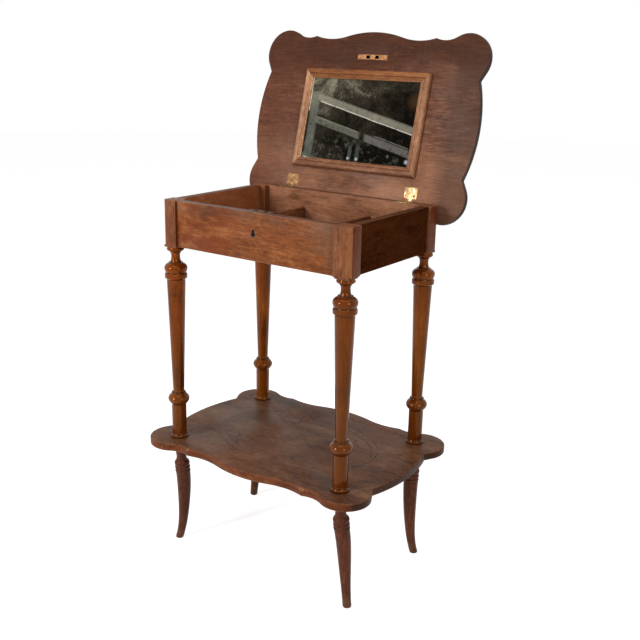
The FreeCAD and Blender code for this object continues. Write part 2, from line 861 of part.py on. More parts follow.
def make_foot(label, x_side, y_side):
    body = new_body(label)
    neck_share = number(size.foot_neck_length) / number(foot_rings_foot)
    flare_share = neck_share - number(size.foot_flare_height) / number(foot_rings_foot)
    bend_share = flare_share + (neck_share - flare_share) * foot_flare_share
    shares = (0, flare_share, bend_share, neck_share)
    neck = size.foot_neck_diameter
    join_circles(body, "neck", [-foot_rings_foot * share for share in shares],
                 [foot_neck_centre(share, x_side, y_side) for share in shares],
                 (neck, neck, neck + size.foot_ring_dip / 2, size.foot_flare_diameter))
    # three rounded rings
    drop = size.foot_neck_length
    ring = size.foot_ring_diameter / 2
    dip = ring - size.foot_ring_dip
    for share in foot_ring_shares:
        height = size.foot_rings_height * share
        low = drop + height
        middle = drop + height / 2
        x, y = foot_neck_centre(number(middle) / number(foot_rings_foot), x_side, y_side)
        sketch = new_sketch(body, "XZ_Plane", -y)
        sketch.AttachmentOffset.Base.x = number(x)
        bind(sketch, "AttachmentOffset.Base.x", x)
        draw_outline(sketch, (0, -drop), [
            (dip, -drop), ((ring, -middle), (dip, -low)), (0, -low), (0, -drop)])
        revolve(body, sketch)
        drop = low
    # the shaft
    start_x, start_y = foot_neck_centre(1, x_side, y_side)
    shaft_length = size.foot_height - foot_rings_foot
    levels = []
    centres = []
    for share, bow, splay in zip(foot_station_shares, foot_bow_shares, foot_splay_shares):
        levels.append(-foot_rings_foot - shaft_length * share)
        across = (size.foot_outward_splay - size.foot_neck_shift) * splay * x_side
        along = (size.foot_inward_bow - size.foot_neck_bow) * bow * -y_side
        centres.append((start_x + across, start_y + along))
    shaft = join_circles(body, "shaft", levels, centres, (
        size.foot_shoulder_diameter, size.foot_upper_diameter, size.foot_middle_diameter,
        size.foot_lower_diameter, size.foot_tip_diameter))
    doc.recompute()
    lowest = min(edge.BoundBox.ZMax for edge in shaft.Shape.Edges)
    ends = []
    for index, edge in enumerate(shaft.Shape.Edges, start=1):
        if edge.BoundBox.ZMax < lowest + number(size.joint_clearance):
            ends.append("Edge%d" % index)
    eased = body.newObject("PartDesign::Fillet", label + "_eased")
    eased.Base = (shaft, ends)
    eased.Radius = number(size.foot_tip_easing)
    bind(eased, "Radius", size.foot_tip_easing)
    socket = size.dowel_length - size.shelf_thickness + size.foot_socket_spare
    cylinder(body, "Subtractive", (0, 0, 0), "-z",
             size.dowel_diameter / 2 + size.joint_clearance, socket)
    place(body, (leg_x * x_side, leg_y * y_side, size.foot_height))


# The lid and what it carries, all measured from the line V = 0 on its inner face

def leaf_screw_places():
    # one screw above two, as (x from the middle of the leaf, V)
    low = size.leaf_start + size.hinge_screw_margin
    high = size.leaf_rise - size.hinge_screw_margin
    return [(-size.hinge_screw_spread, low), (size.hinge_screw_spread, low), (0, high)]


def make_lid():
    outline = board_steps(lid_half_length, lid_half_depth, lid_centre)
    body = board_blank("lid_board", outline, size.lid_thickness, -size.lid_thickness)
    clear = size.metal_let_in_clearance
    for side in (-1, 1):
        centre = hinge_place * side
        half = size.leaf_width / 2 + clear
        box(body, "Subtractive",
            (centre - half, size.leaf_start - clear, -size.leaf_thickness),
            (centre + half, size.leaf_rise + clear, size.overrun))
        tongue = size.middle_knuckle / 2 + clear
        box(body, "Subtractive",
            (centre - tongue, hinge_v - size.leaf_thickness - clear, -size.leaf_thickness),
            (centre + tongue, size.leaf_start, size.overrun))
        for x, v in leaf_screw_places():
            cylinder(body, "Subtractive", (centre + x, v, -size.leaf_thickness), "-z",
                     size.hinge_screw_shank_diameter / 2 + size.screw_clearance,
                     size.hinge_screw_length - size.leaf_thickness + size.joint_clearance)
    half_length = size.strike_length / 2 + clear
    half_width = size.strike_width / 2 + clear
    box(body, "Subtractive",
        (size.lock_place - half_length, strike_height - half_width, -size.strike_thickness),
        (size.lock_place + half_length, strike_height + half_width, size.overrun))
    for x, v in brad_places():
        cylinder(body, "Subtractive", (x, v, size.overrun), "-z",
                 size.brad_diameter / 2 + size.screw_clearance,
                 size.brad_length - size.moulding_thickness + size.joint_clearance + size.overrun)
    # the mortise that the claws of the lock swing into, above the strike plate
    reach = size.claw_radius + size.claw_width
    box(body, "Subtractive",
        (size.lock_place - reach, strike_height - size.claw_slot_width / 2, -size.claw_mortise_depth),
        (size.lock_place + reach, strike_height + size.claw_slot_width / 2, -size.strike_thickness))
    for side in (-1, 1):
        cylinder(body, "Subtractive",
                 (size.lock_place + strike_screw_x * side, strike_height, -size.strike_thickness), "-z",
                 size.strike_screw_shank_diameter / 2 + size.screw_clearance,
                 size.strike_screw_length - size.strike_thickness + size.joint_clearance)
    place_on_lid(body)


strike_screw_x = size.strike_length / 2 - size.strike_screw_inset
# the claws cross the rim at this distance from the middle of the lock
claw_cross = size.claw_radius * math.sqrt(1 - (number(size.claw_pivot_drop) / number(size.claw_radius)) ** 2)


def make_strike():
    body = new_body("strike_plate")
    half_length = size.strike_length / 2
    half_width = size.strike_width / 2
    box(body, "Additive", (-half_length, -half_width, -size.strike_thickness),
        (half_length, half_width, 0))
    for side in (-1, 1):
        centre = (claw_cross - size.strike_slot_shift) * side
        box(body, "Subtractive",
            (centre - size.claw_slot_length / 2, -size.claw_slot_width / 2,
             -size.strike_thickness - size.overrun),
            (centre + size.claw_slot_length / 2, size.claw_slot_width / 2, size.overrun))
        countersink(body, (strike_screw_x * side, 0, 0), "-z",
                    size.strike_screw_head_diameter, size.strike_screw_shank_diameter, size.strike_thickness)
    rotated = (size.lock_place, lid_base_y + strike_height * sine(size.lid_lean_angle),
               lid_base_z + strike_height * cosine(size.lid_lean_angle))
    place(body, rotated, lid_turn)


def countersink(body, base, direction, head, shank, thickness):
    # a hole for a flush screw head through a plate
    radius = shank / 2 + size.screw_clearance
    cone(body, "Subtractive", base, direction, head / 2 + size.screw_clearance, radius,
         (head - shank) / 2)
    cylinder(body, "Subtractive", base, direction, radius, thickness + size.overrun)


def make_lid_leaf(label, side):
    body = new_body(label)
    half = size.leaf_width / 2
    box(body, "Additive", (-half, size.leaf_start, -size.leaf_thickness),
        (half, size.leaf_rise, 0))
    tongue = size.middle_knuckle / 2
    box(body, "Additive", (-tongue, hinge_v - size.leaf_thickness / 2, -size.leaf_thickness),
        (tongue, size.leaf_start, 0))
    ring_side = pin_depth - size.knuckle_diameter / 2 + size.leaf_thickness / 2
    box(body, "Additive", (-tongue, hinge_v - size.leaf_thickness / 2, -size.leaf_thickness),
        (tongue, hinge_v + size.leaf_thickness / 2, ring_side))
    cylinder(body, "Additive", (-tongue, hinge_v, pin_depth), "+x",
             size.knuckle_diameter / 2, size.middle_knuckle)
    cylinder(body, "Subtractive", (-tongue - size.overrun, hinge_v, pin_depth), "+x",
             size.pin_diameter / 2 + size.pin_running_clearance, size.middle_knuckle + size.overrun * 2)
    for x, v in leaf_screw_places():
        countersink(body, (x, v, 0), "-z", size.hinge_screw_head_diameter,
                    size.hinge_screw_shank_diameter, size.leaf_thickness)
    place(body, (hinge_place * side, lid_base_y, lid_base_z), lid_turn)


def make_case_leaf(label, side):
    # lies flush in the rim of the back apron; two knuckles hang behind the case
    body = new_body(label)
    half = size.leaf_width / 2
    box(body, "Additive", (-half, -size.apron_thickness, -size.leaf_thickness),
        (half, 0, 0))
    inner = size.middle_knuckle / 2 + size.knuckle_gap
    reach = size.pin_behind + size.leaf_thickness / 2
    knuckle = half - inner
    for low in (-half, inner):
        box(body, "Additive", (low, 0, -size.leaf_thickness), (low + knuckle, reach, 0))
        box(body, "Additive",
            (low, size.pin_behind - size.leaf_thickness / 2,
             -size.pin_below + size.knuckle_diameter / 2 - size.leaf_thickness / 2),
            (low + knuckle, reach, 0))
        cylinder(body, "Additive", (low, size.pin_behind, -size.pin_below), "+x",
                 size.knuckle_diameter / 2, knuckle)
        cylinder(body, "Subtractive", (low - size.knuckle_gap / 2, size.pin_behind, -size.pin_below), "+x",
                 size.pin_diameter / 2 + size.pin_seat_clearance, knuckle + size.knuckle_gap)
    for x in (-1, 0, 1):
        countersink(body, (size.hinge_screw_spread * x, -size.apron_thickness / 2, 0), "-z",
                    size.hinge_screw_head_diameter, size.hinge_screw_shank_diameter, size.leaf_thickness)
    place(body, (hinge_place * side, apron_outer_y, rim))


def make_hinge_pin(label, side):
    body = new_body(label)
    cylinder(body, "Additive", (-size.leaf_width / 2, 0, 0), "+x",
             size.pin_diameter / 2, size.leaf_width)
    place(body, (hinge_place * side, pin_y, pin_z))


# Screws: several of one kind share one file, as separate solids

screw_tip_share = 0.1


def screw(head, shank, length):
    # head uppermost at the origin, point downwards
    head_height = (head - shank) / 2
    body = new_body("screw_pattern")
    cone(body, "Additive", (0, 0, 0), "-z", head / 2, shank / 2, head_height)
    cylinder(body, "Additive", (0, 0, -head_height), "-z", shank / 2, length - head_height - shank)
    cone(body, "Additive", (0, 0, shank - length), "-z", shank / 2, shank * screw_tip_share, shank)
    return body


def screw_group(label, head, shank, length, places):
    copy_group(label, screw(head, shank, length), places)


def copy_group(label, source, places):
    # places are (position, rotation) of each copy
    doc.recompute()
    solids = []
    for position, rotation in places:
        solid = source.Shape.copy()
        solid.Placement = FreeCAD.Placement(Vector(*[number(value) for value in position]), rotation)
        solids.append(solid)
    group = doc.addObject("Part::Feature", label)
    group.Label = label
    group.Shape = Part.makeCompound(solids)
    group.Placement = FreeCAD.Placement(Vector(0, 0, 0), Rotation())
    source.Label = label + "_pattern"
    patterns.append(source.Label)


patterns = []


def lid_point(x, v, w):
    y = lid_base_y + v * sine(size.lid_lean_angle) - w * cosine(size.lid_lean_angle)
    z = lid_base_z + v * cosine(size.lid_lean_angle) + w * sine(size.lid_lean_angle)
    return (x, y, z)


def make_hinge_screws():
    lid_places = []
    case_places = []
    for side in (-1, 1):
        for x, v in leaf_screw_places():
            lid_places.append((lid_point(hinge_place * side + x, v, 0), lid_turn))
        for x in (-1, 0, 1):
            case_places.append(((hinge_place * side + size.hinge_screw_spread * x,
                                 apron_outer_y - size.apron_thickness / 2, rim), Rotation()))
    screw_group("lid_hinge_screws", size.hinge_screw_head_diameter, size.hinge_screw_shank_diameter,
                size.hinge_screw_length, lid_places)
    screw_group("case_hinge_screws", size.hinge_screw_head_diameter, size.hinge_screw_shank_diameter,
                size.hinge_screw_length, case_places)


def make_strike_screws():
    places = []
    for side in (-1, 1):
        places.append((lid_point(size.lock_place + strike_screw_x * side, strike_height, 0),
                       lid_turn))
    screw_group("strike_screws", size.strike_screw_head_diameter, size.strike_screw_shank_diameter,
                size.strike_screw_length, places)


# The mitred mirror frame, the glass and the card behind it

brad_share = 0.56


def brad_places():
    # two brads in each moulding, as (x, V)
    middle = (frame_low_edge + frame_high_edge) / 2
    half_rise = (frame_high_edge - frame_low_edge) / 2
    result = []
    for side in (-1, 1):
        along = frame_half_length * brad_share * side
        result.append((along, frame_low_edge + size.brad_place))
        result.append((along, frame_high_edge - size.brad_place))
        rise = middle + half_rise * brad_share * side
        result.append((size.brad_place - frame_half_length, rise))
        result.append((frame_half_length - size.brad_place, rise))
    return result


def make_brads():
    body = new_body("brad_pattern")
    cylinder(body, "Additive", (0, 0, 0), "-z", size.brad_diameter / 2, size.brad_length)
    places = [(lid_point(x, v, size.moulding_thickness), lid_turn) for x, v in brad_places()]
    copy_group("mirror_frame_brads", body, places)


moulding_round_share = 0.3
moulding_round_drop_share = 0.1
moulding_flat_share = 0.62
moulding_step_share = 0.68
moulding_step_drop_share = 0.24
moulding_hollow_share = 0.8
moulding_hollow_rise_share = 0.36


def moulding_steps():
    # Y is 0 at the outer edge and grows towards the glass, Z rises from the lid's face
    thick = size.moulding_thickness
    width = size.moulding_width
    lip = width - size.rebate_width
    start = (0, 0)
    return start, [
        (0, size.moulding_edge),
        ((size.moulding_crown * moulding_round_share,
          thick - size.moulding_crown * moulding_round_drop_share), (size.moulding_crown, thick)),
        (lip * moulding_flat_share, thick),
        (lip * moulding_step_share, thick - size.moulding_crown * moulding_step_drop_share),
        ((width * moulding_hollow_share,
          size.moulding_inner_edge + size.moulding_crown * moulding_hollow_rise_share),
         (width, size.moulding_inner_edge)),
        (width, size.rebate_depth),
        (lip, size.rebate_depth),
        (lip, 0),
        start,
    ]


def make_moulding(label, half_length, x, v, degrees):
    # drawn along X with its outer edge at Y = 0, then turned to its side of the frame
    body = new_body(label)
    sketch = new_sketch(body, "YZ_Plane", -half_length)
    start, steps = moulding_steps()
    draw_outline(sketch, start, steps)
    pad(body, sketch, half_length * 2)
    width = size.moulding_width + size.overrun
    for side in (-1, 1):
        cut = new_sketch(body, "XY_Plane", -size.overrun)
        end = half_length * side
        outer = end + size.overrun * side
        draw_outline(cut, (outer, -size.overrun), [
            (end - width * side, width), (outer, width), (outer, -size.overrun)])
        pocket(body, cut, size.moulding_thickness + size.overrun * 2, True)
        cylinder(body, "Subtractive",
                 (half_length * brad_share * side, size.brad_place, -size.overrun), "+z",
                 size.brad_diameter / 2 + size.screw_clearance, size.moulding_thickness + size.overrun * 2)
    place(body, lid_point(x, v, 0), lid_turn.multiply(around_z(degrees)))


def make_mirror():
    middle = (frame_low_edge + frame_high_edge) / 2
    half_rise = (frame_high_edge - frame_low_edge) / 2
    make_moulding("mirror_frame_bottom", frame_half_length, 0, frame_low_edge, 0)
    make_moulding("mirror_frame_top", frame_half_length, 0, frame_high_edge, 180)
    make_moulding("mirror_frame_left", half_rise, -frame_half_length, middle, -90)
    make_moulding("mirror_frame_right", half_rise, frame_half_length, middle, 90)
    inset = size.moulding_width - size.rebate_width + size.glass_gap
    half_x = frame_half_length - inset
    half_v = half_rise - inset
    glass_front = size.card_thickness + size.glass_thickness
    for label, low, high in (("mirror_backing_card", 0, size.card_thickness),
                             ("mirror_glass", size.card_thickness, glass_front)):
        body = new_body(label)
        box(body, "Additive", (-half_x, -half_v, low), (half_x, half_v, high))
        place(body, lid_point(0, middle, 0), lid_turn)


# The lock: a box on the inner face of the front apron, with two claws that swing up through
# the strike plate and close towards each other

pivot_z = rim - size.claw_pivot_drop
lock_top = rim - size.lock_drop
lock_foot = lock_top - size.lock_height


lock_screw_share = 0.16
claw_root_share = 0.2
claw_inner_arc_share = 0.45
key_pin_share = 0.2


def lock_screw_places():
    # on ears at the two sides of the box, as (x, z)
    result = []
    for side in (-1, 1):
        x = size.lock_place + (size.lock_length / 2 + size.lock_screw_inset) * side
        result.append((x, lock_top - size.lock_height * lock_screw_share))
        result.append((x, lock_foot + size.lock_height * lock_screw_share))
    return result


def make_lock_case():
    # open towards the apron; drawn about the middle of its top edge, Y inwards from the apron
    body = new_body("lock_case")
    half = size.lock_length / 2
    wall = size.lock_wall
    ear = size.lock_screw_inset * 2
    box(body, "Additive", (-half, 0, -size.lock_height), (half, size.lock_depth, 0))
    box(body, "Additive", (-half - ear, 0, -size.lock_height), (half + ear, wall, 0))
    box(body, "Subtractive", (-half + wall, -size.overrun, -size.lock_height + wall),
        (half - wall, size.lock_depth - wall, -wall))
    for side in (-1, 1):
        centre = claw_cross * side
        box(body, "Subtractive",
            (centre - size.claw_slot_length / 2, -size.overrun, -wall - size.overrun),
            (centre + size.claw_slot_length / 2, size.lock_depth - wall, size.overrun))
    for x, z in lock_screw_places():
        countersink(body, (x - size.lock_place, wall, z - lock_top), "-y",
                    size.strike_screw_head_diameter, size.strike_screw_shank_diameter, wall)
    place(body, (size.lock_place, -inside_y, lock_top))


def make_lock_screws():
    places = []
    for x, z in lock_screw_places():
        places.append(((x, -inside_y + size.lock_wall, z), Rotation(Vector(1, 0, 0), -90)))
    screw_group("lock_screws", size.strike_screw_head_diameter, size.strike_screw_shank_diameter,
                size.strike_screw_length, places)


claw_tip_angle = 31.0
claw_root_angle = -24.0
claw_shoulder_angle = -4.0


def polar(radius, degrees, side):
    return (radius * math.cos(math.radians(degrees)) * side, radius * math.sin(math.radians(degrees)))


def make_claw(label, side, layer):
    # a curved claw about the pivot, with a hub and a tail that the key pushes
    body = new_body(label)
    sketch = new_sketch(body, "XZ_Plane")
    outer = size.claw_radius + size.claw_width / 2
    inner = size.claw_radius - size.claw_width / 2
    middle = (claw_tip_angle + claw_root_angle) / 2
    start = polar(outer, claw_tip_angle, side)
    draw_outline(sketch, start, [
        (polar(outer, middle, side), polar(outer, claw_root_angle, side)),
        polar(inner * claw_root_share, claw_root_angle, side),
        polar(inner * claw_root_share, claw_shoulder_angle, side),
        polar(inner, claw_shoulder_angle, side),
        (polar(inner, claw_tip_angle * claw_inner_arc_share, side),
         polar(inner, claw_tip_angle, side)),
        start,
    ])
    pad(body, sketch, size.claw_thickness)
    cylinder(body, "Additive", (0, 0, 0), "-y", size.claw_hub_diameter / 2, size.claw_thickness)
    box(body, "Additive", (-size.claw_tail_width / 2, -size.claw_thickness, -size.claw_tail_length),
        (size.claw_tail_width / 2, 0, 0))
    cylinder(body, "Subtractive", (0, size.overrun, 0), "-y",
             size.claw_pin_diameter / 2 + size.pin_running_clearance, size.claw_thickness + size.overrun * 2)
    place(body, (size.lock_place, layer, pivot_z))


def make_lock_pieces():
    # the strike lies over the gap between the two layers of claws
    gap = size.claw_layer_gap / 2
    make_claw("right_claw", 1, claws_y - gap)
    make_claw("left_claw", -1, claws_y + gap + size.claw_thickness)
    pin = new_body("claw_pivot_pin")
    length = size.lock_depth - size.lock_wall - size.claw_pin_spare
    cylinder(pin, "Additive", (0, 0, 0), "-y", size.claw_pin_diameter / 2, length)
    place(pin, (size.lock_place, -inside_y + size.lock_depth - size.lock_wall, pivot_z))
    key_pin = new_body("key_drill_pin")
    cylinder(key_pin, "Additive", (0, 0, 0), "-y", size.key_pin_diameter / 2, size.key_pin_length)
    place(key_pin, (size.lock_place, -inside_y + size.lock_depth - size.lock_wall,
                    case_base + keyhole_z + size.keyhole_height * key_pin_share))


for label, x_side, y_side, quarter_turns in (
        ("back_right_leg", 1, 1, 0), ("back_left_leg", -1, 1, 1),
        ("front_left_leg", -1, -1, 2), ("front_right_leg", 1, -1, 3)):
    make_leg(label, x_side, y_side, quarter_turns)
make_front_apron()
make_back_apron()
make_side_apron("left_apron", -1)
make_side_apron("right_apron", 1)
make_escutcheon()
make_bottom_board()
make_partition("left_partition", -size.left_partition_place)
make_partition("right_partition", size.right_partition_place)
make_shelf()
for label, x_side, y_side in (
        ("back_right_foot", 1, 1), ("back_left_foot", -1, 1),
        ("front_left_foot", -1, -1), ("front_right_foot", 1, -1)):
    make_foot(label, x_side, y_side)
make_lid()
make_strike()
for word, side in (("left", -1), ("right", 1)):
    make_lid_leaf("%s_hinge_lid_leaf" % word, side)
    make_case_leaf("%s_hinge_case_leaf" % word, side)
    make_hinge_pin("%s_hinge_pin" % word, side)
make_hinge_screws()
make_strike_screws()
make_mirror()
make_brads()
make_lock_case()
make_lock_screws()
make_lock_pieces()

doc.recompute()

# Check every object, then write one file for each sub-part

for item in doc.Objects:
    if "Invalid" in item.State or "Error" in item.State:
        raise RuntimeError("failed object: %s %s" % (item.Label, item.State))
for item in doc.Objects:
    if item.TypeId == "PartDesign::Body" or item.TypeId == "Part::Feature":
        if item.Label in patterns or item.getParentGeoFeatureGroup() is not None:
            continue
        shape = item.Shape
        if shape.isNull() or not shape.isValid():
            raise RuntimeError("bad shape: " + item.Label)
        shape.exportStep("parts/%s.step" % item.Label)
        print(item.Label, len(shape.Solids), round(shape.Volume, 1))
print("hinge axis y z", pin_y.value, pin_z.value, "claws y z", claws_y.value, pivot_z.value)
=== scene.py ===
import json
import math
import random

import bpy
from mathutils import Matrix, Vector


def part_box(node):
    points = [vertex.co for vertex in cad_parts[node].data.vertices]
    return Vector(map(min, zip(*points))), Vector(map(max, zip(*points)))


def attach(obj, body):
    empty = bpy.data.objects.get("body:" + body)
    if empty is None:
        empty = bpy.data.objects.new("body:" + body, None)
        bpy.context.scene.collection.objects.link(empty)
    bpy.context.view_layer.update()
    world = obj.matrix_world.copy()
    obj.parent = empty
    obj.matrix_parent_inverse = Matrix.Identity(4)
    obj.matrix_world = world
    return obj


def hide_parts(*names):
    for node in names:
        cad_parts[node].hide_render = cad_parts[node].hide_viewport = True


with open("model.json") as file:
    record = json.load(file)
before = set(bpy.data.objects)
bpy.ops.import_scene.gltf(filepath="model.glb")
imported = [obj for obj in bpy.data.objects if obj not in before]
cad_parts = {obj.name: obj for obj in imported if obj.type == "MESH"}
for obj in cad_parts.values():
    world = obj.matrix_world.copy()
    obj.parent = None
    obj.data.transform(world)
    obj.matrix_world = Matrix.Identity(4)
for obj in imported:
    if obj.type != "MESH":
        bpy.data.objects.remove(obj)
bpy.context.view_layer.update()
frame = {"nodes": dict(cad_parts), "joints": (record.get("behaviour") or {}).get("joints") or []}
nodes = frame["nodes"]
mm = 0.001
print("frame loaded:", len(nodes), "nodes")


# Small helpers for picking, drawing, cutting and finishing pieces

# points this near are merged, in millimetres, and faces this level become one
cleaning = {"cadMerge": 0.002, "drawnMerge": 0.01, "levelDegrees": 0.5}


def pick(*pieces):
    # selects these pieces alone, the first as the active one
    bpy.ops.object.select_all(action="DESELECT")
    for piece in reversed(pieces):
        piece.select_set(True)
        bpy.context.view_layer.objects.active = piece


def editMode(on):
    bpy.ops.object.mode_set(mode="EDIT" if on else "OBJECT")


def wholeMesh():
    bpy.ops.mesh.select_all(action="SELECT")


def newObject(name, data):
    made = bpy.data.objects.new(name, data)
    bpy.context.scene.collection.objects.link(made)
    return made


def primitive(name, add, **shape):
    pick()
    add(**shape)
    bpy.context.object.name = name
    return bpy.context.object


def applyAll(piece):
    pick(piece)
    for modifier in list(piece.modifiers):
        bpy.ops.object.modifier_apply(modifier=modifier.name)


def shadeSmooth(degrees):
    bpy.ops.object.shade_smooth_by_angle(angle=math.radians(degrees))


def soften(piece, width, segments=2, degrees=40):
    # a small round on every arris, in millimetres, then smooth shading
    bevel = piece.modifiers.new("arris", "BEVEL")
    bevel.width = width * mm
    bevel.segments = segments
    bevel.limit_method = "ANGLE"
    bevel.angle_limit = math.radians(degrees)
    bevel.miter_outer = "MITER_ARC"
    applyAll(piece)
    shadeSmooth(degrees)
    return piece


def cutAway(piece, cutter):
    # takes the cutter's shape out of the piece; the cutter is used up
    cut = piece.modifiers.new("cut", "BOOLEAN")
    cut.operation = "DIFFERENCE"
    cut.object = cutter
    cut.solver = "EXACT"
    bpy.context.view_layer.update()
    applyAll(piece)
    bpy.data.objects.remove(cutter)


def drawChain(name, points):
    # one edge after the other from point to point; it stays in edit mode
    chain = primitive(name, bpy.ops.mesh.primitive_plane_add, size=mm, location=(0, 0, 0))
    editMode(True)
    bpy.ops.mesh.select_mode(type="VERT")
    wholeMesh()
    bpy.ops.mesh.merge(type="CENTER")
    bpy.ops.transform.translate(value=points[0])
    for here, there in zip(points, points[1:]):
        bpy.ops.mesh.extrude_vertices_move(TRANSFORM_OT_translate={"value": there - here})
    wholeMesh()
    return chain


def mergeDrawn():
    bpy.ops.mesh.remove_doubles(threshold=cleaning["drawnMerge"] * mm)


def closeShape(degrees):
    # every face turned outwards, out of edit mode, then smooth shading
    wholeMesh()
    bpy.ops.mesh.normals_make_consistent(inside=False)
    editMode(False)
    shadeSmooth(degrees)


def mergedCopy(nodeName, pieceName):
    # the CAD solid as clean faces
    piece = newObject(pieceName, nodes[nodeName].data.copy())
    pick(piece)
    bpy.ops.mesh.customdata_custom_splitnormals_clear()
    editMode(True)
    wholeMesh()
    bpy.ops.mesh.remove_doubles(threshold=cleaning["cadMerge"] * mm)
    bpy.ops.mesh.dissolve_limited(angle_limit=math.radians(cleaning["levelDegrees"]))
    editMode(False)
    return piece


def finishPiece(piece, body, material, node):
    piece.data.materials.clear()
    piece.data.materials.append(material)
    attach(piece, body)
    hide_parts(node)


def dress(material, *names):
    # a CAD node keeps its shape and gets a better finish
    for name in names:
        nodes[name].data.materials.clear()
        nodes[name].data.materials.append(material)


# Shader helpers

def tone(red, green, blue):
    # a colour as it shows on the screen, 0 to 255
    def linear(value):
        value = value / 255
        return value / 12.92 if value <= 0.04045 else ((value + 0.055) / 1.055) ** 2.4
    return (linear(red), linear(green), linear(blue), 1)


def feed(tree, socket, value):
    if isinstance(value, bpy.types.NodeSocket):
        tree.links.new(value, socket)
    else:
        socket.default_value = value


def feedAll(tree, node, inputs):
    for name, value in inputs.items():
        feed(tree, node.inputs[name], value)


def shaderNode(tree, kind, inputs=None, **settings):
    made = tree.nodes.new("ShaderNode" + kind)
    for name, value in settings.items():
        setattr(made, name, value)
    feedAll(tree, made, inputs or {})
    return made


def mathNode(tree, operation, *values, kind="Math", output=0, **settings):
    made = shaderNode(tree, kind, operation=operation, **settings)
    for socket, value in zip(made.inputs, values):
        feed(tree, socket, value)
    return made.outputs[output]


def vectorNode(tree, operation, *values, output="Vector"):
    return mathNode(tree, operation, *values, kind="VectorMath", output=output)


def allOf(tree, mask, *others):
    # where all these masks hold: their product, between 0 and 1
    for other in others:
        mask = mathNode(tree, "MULTIPLY", mask, other, use_clamp=True)
    return mask


def swing(tree, pattern, strength):
    # a noise brought to swing about 0
    return mathNode(tree, "MULTIPLY", mathNode(tree, "SUBTRACT", pattern, 0.5), strength)


def mixColour(tree, share, first, second, blend="MIX"):
    made = shaderNode(tree, "Mix", data_type="RGBA", blend_type=blend)
    # the colour sockets of a Mix node come after those for numbers and vectors
    for place, value in ((0, share), (6, first), (7, second)):
        feed(tree, made.inputs[place], value)
    return made.outputs[2]


def ramp(tree, value, low, high, toLow=0.0, toHigh=1.0, smooth=True):
    return shaderNode(tree, "MapRange", {
        "Value": value, "From Min": low, "From Max": high, "To Min": toLow, "To Max": toHigh},
        interpolation_type="SMOOTHSTEP" if smooth else "LINEAR").outputs[0]


def noise(tree, vector, scale=1.0, detail=2.0, roughness=0.5, distortion=0.0):
    return shaderNode(tree, "TexNoise", {
        "Vector": vector, "Scale": scale, "Detail": detail, "Roughness": roughness,
        "Distortion": distortion}).outputs[0]


def stretched(tree, vector, scale, degrees=(0, 0, 0)):
    return shaderNode(tree, "Mapping", {
        "Vector": vector, "Scale": scale,
        "Rotation": [math.radians(angle) for angle in degrees]}).outputs[0]


def objectPlace(tree):
    return shaderNode(tree, "TexCoord").outputs["Object"]


def axesOf(tree, vector):
    return shaderNode(tree, "SeparateXYZ", {"Vector": vector}).outputs


def facingShare(tree, axis, low, high):
    # 1 where the surface faces along the axis, in the piece's own frame
    normal = shaderNode(tree, "TexCoord").outputs["Normal"]
    return ramp(tree, vectorNode(tree, "DOT_PRODUCT", normal, axis, output="Value"), low, high)


def newMaterial(name):
    material = bpy.data.materials.new(name)
    material.use_nodes = True
    return material, material.node_tree, material.node_tree.nodes["Principled BSDF"]


# Shader groups that the finishes share

def newGroup(name, inputs, outputs):
    # each input's starting value gives its kind, and one that has none is a vector
    group = bpy.data.node_groups.new(name, "ShaderNodeTree")
    for label, value in inputs.items():
        kind = "Vector" if value is None else "Float" if isinstance(value, float) else "Color"
        socket = group.interface.new_socket(
            name=label, in_out="INPUT", socket_type="NodeSocket" + kind)
        if value is not None:
            socket.default_value = value
    for label in outputs:
        kind = "Color" if label == "Color" else "Float"
        group.interface.new_socket(name=label, in_out="OUTPUT", socket_type="NodeSocket" + kind)
    return group, group.nodes.new("NodeGroupInput").outputs, group.nodes.new("NodeGroupOutput")


def useGroup(tree, group, inputs):
    return shaderNode(tree, "Group", inputs, node_tree=group).outputs


def woodFigureGroup():
    # grain along X: soft blotches, streaks, fine lines and short pores
    group, given, result = newGroup("woodFigure", {
        "Vector": None, "Dark": tone(60, 30, 15), "Middle": tone(120, 75, 50),
        "Light": tone(160, 110, 80), "Blotches": 1.0, "Streaks": 1.0, "Lines": 1.0,
        "Mottle": 0.6, "Pores": 0.3}, ["Color", "Height", "Figure"])
    # name, how often along and across the grain, detail, bend, strength
    layers = [("Blotches", (7, 19, 19), 4.0, 0.8, 1.0), ("Streaks", (24, 280, 280), 4.0, 0.4, 0.7),
              ("Lines", (50, 800, 800), 3.0, 0.2, 0.6), ("Mottle", (95, 120, 120), 4.0, 0.5, 0.6)]
    poreScale, poreTone = (90, 1700, 1700), tone(36, 20, 12)
    figure = 0.5
    for name, scale, detail, bend, weight in layers:
        layer = noise(group, stretched(group, given["Vector"], scale), 1.0, detail, 0.6, bend)
        strength = mathNode(group, "MULTIPLY", given[name], weight)
        figure = mathNode(group, "ADD", swing(group, layer, strength), figure)
    pores = noise(group, stretched(group, given["Vector"], poreScale), detail=1.0)
    pores = allOf(group, ramp(group, pores, 0.6, 0.7), given["Pores"])
    colour = mixColour(group, ramp(group, figure, 0.3, 0.5), given["Dark"], given["Middle"])
    colour = mixColour(group, ramp(group, figure, 0.5, 0.72), colour, given["Light"])
    feedAll(group, result, {
        "Color": mixColour(group, pores, colour, poreTone),
        "Height": mathNode(group, "SUBTRACT", figure, pores), "Figure": figure})
    return group


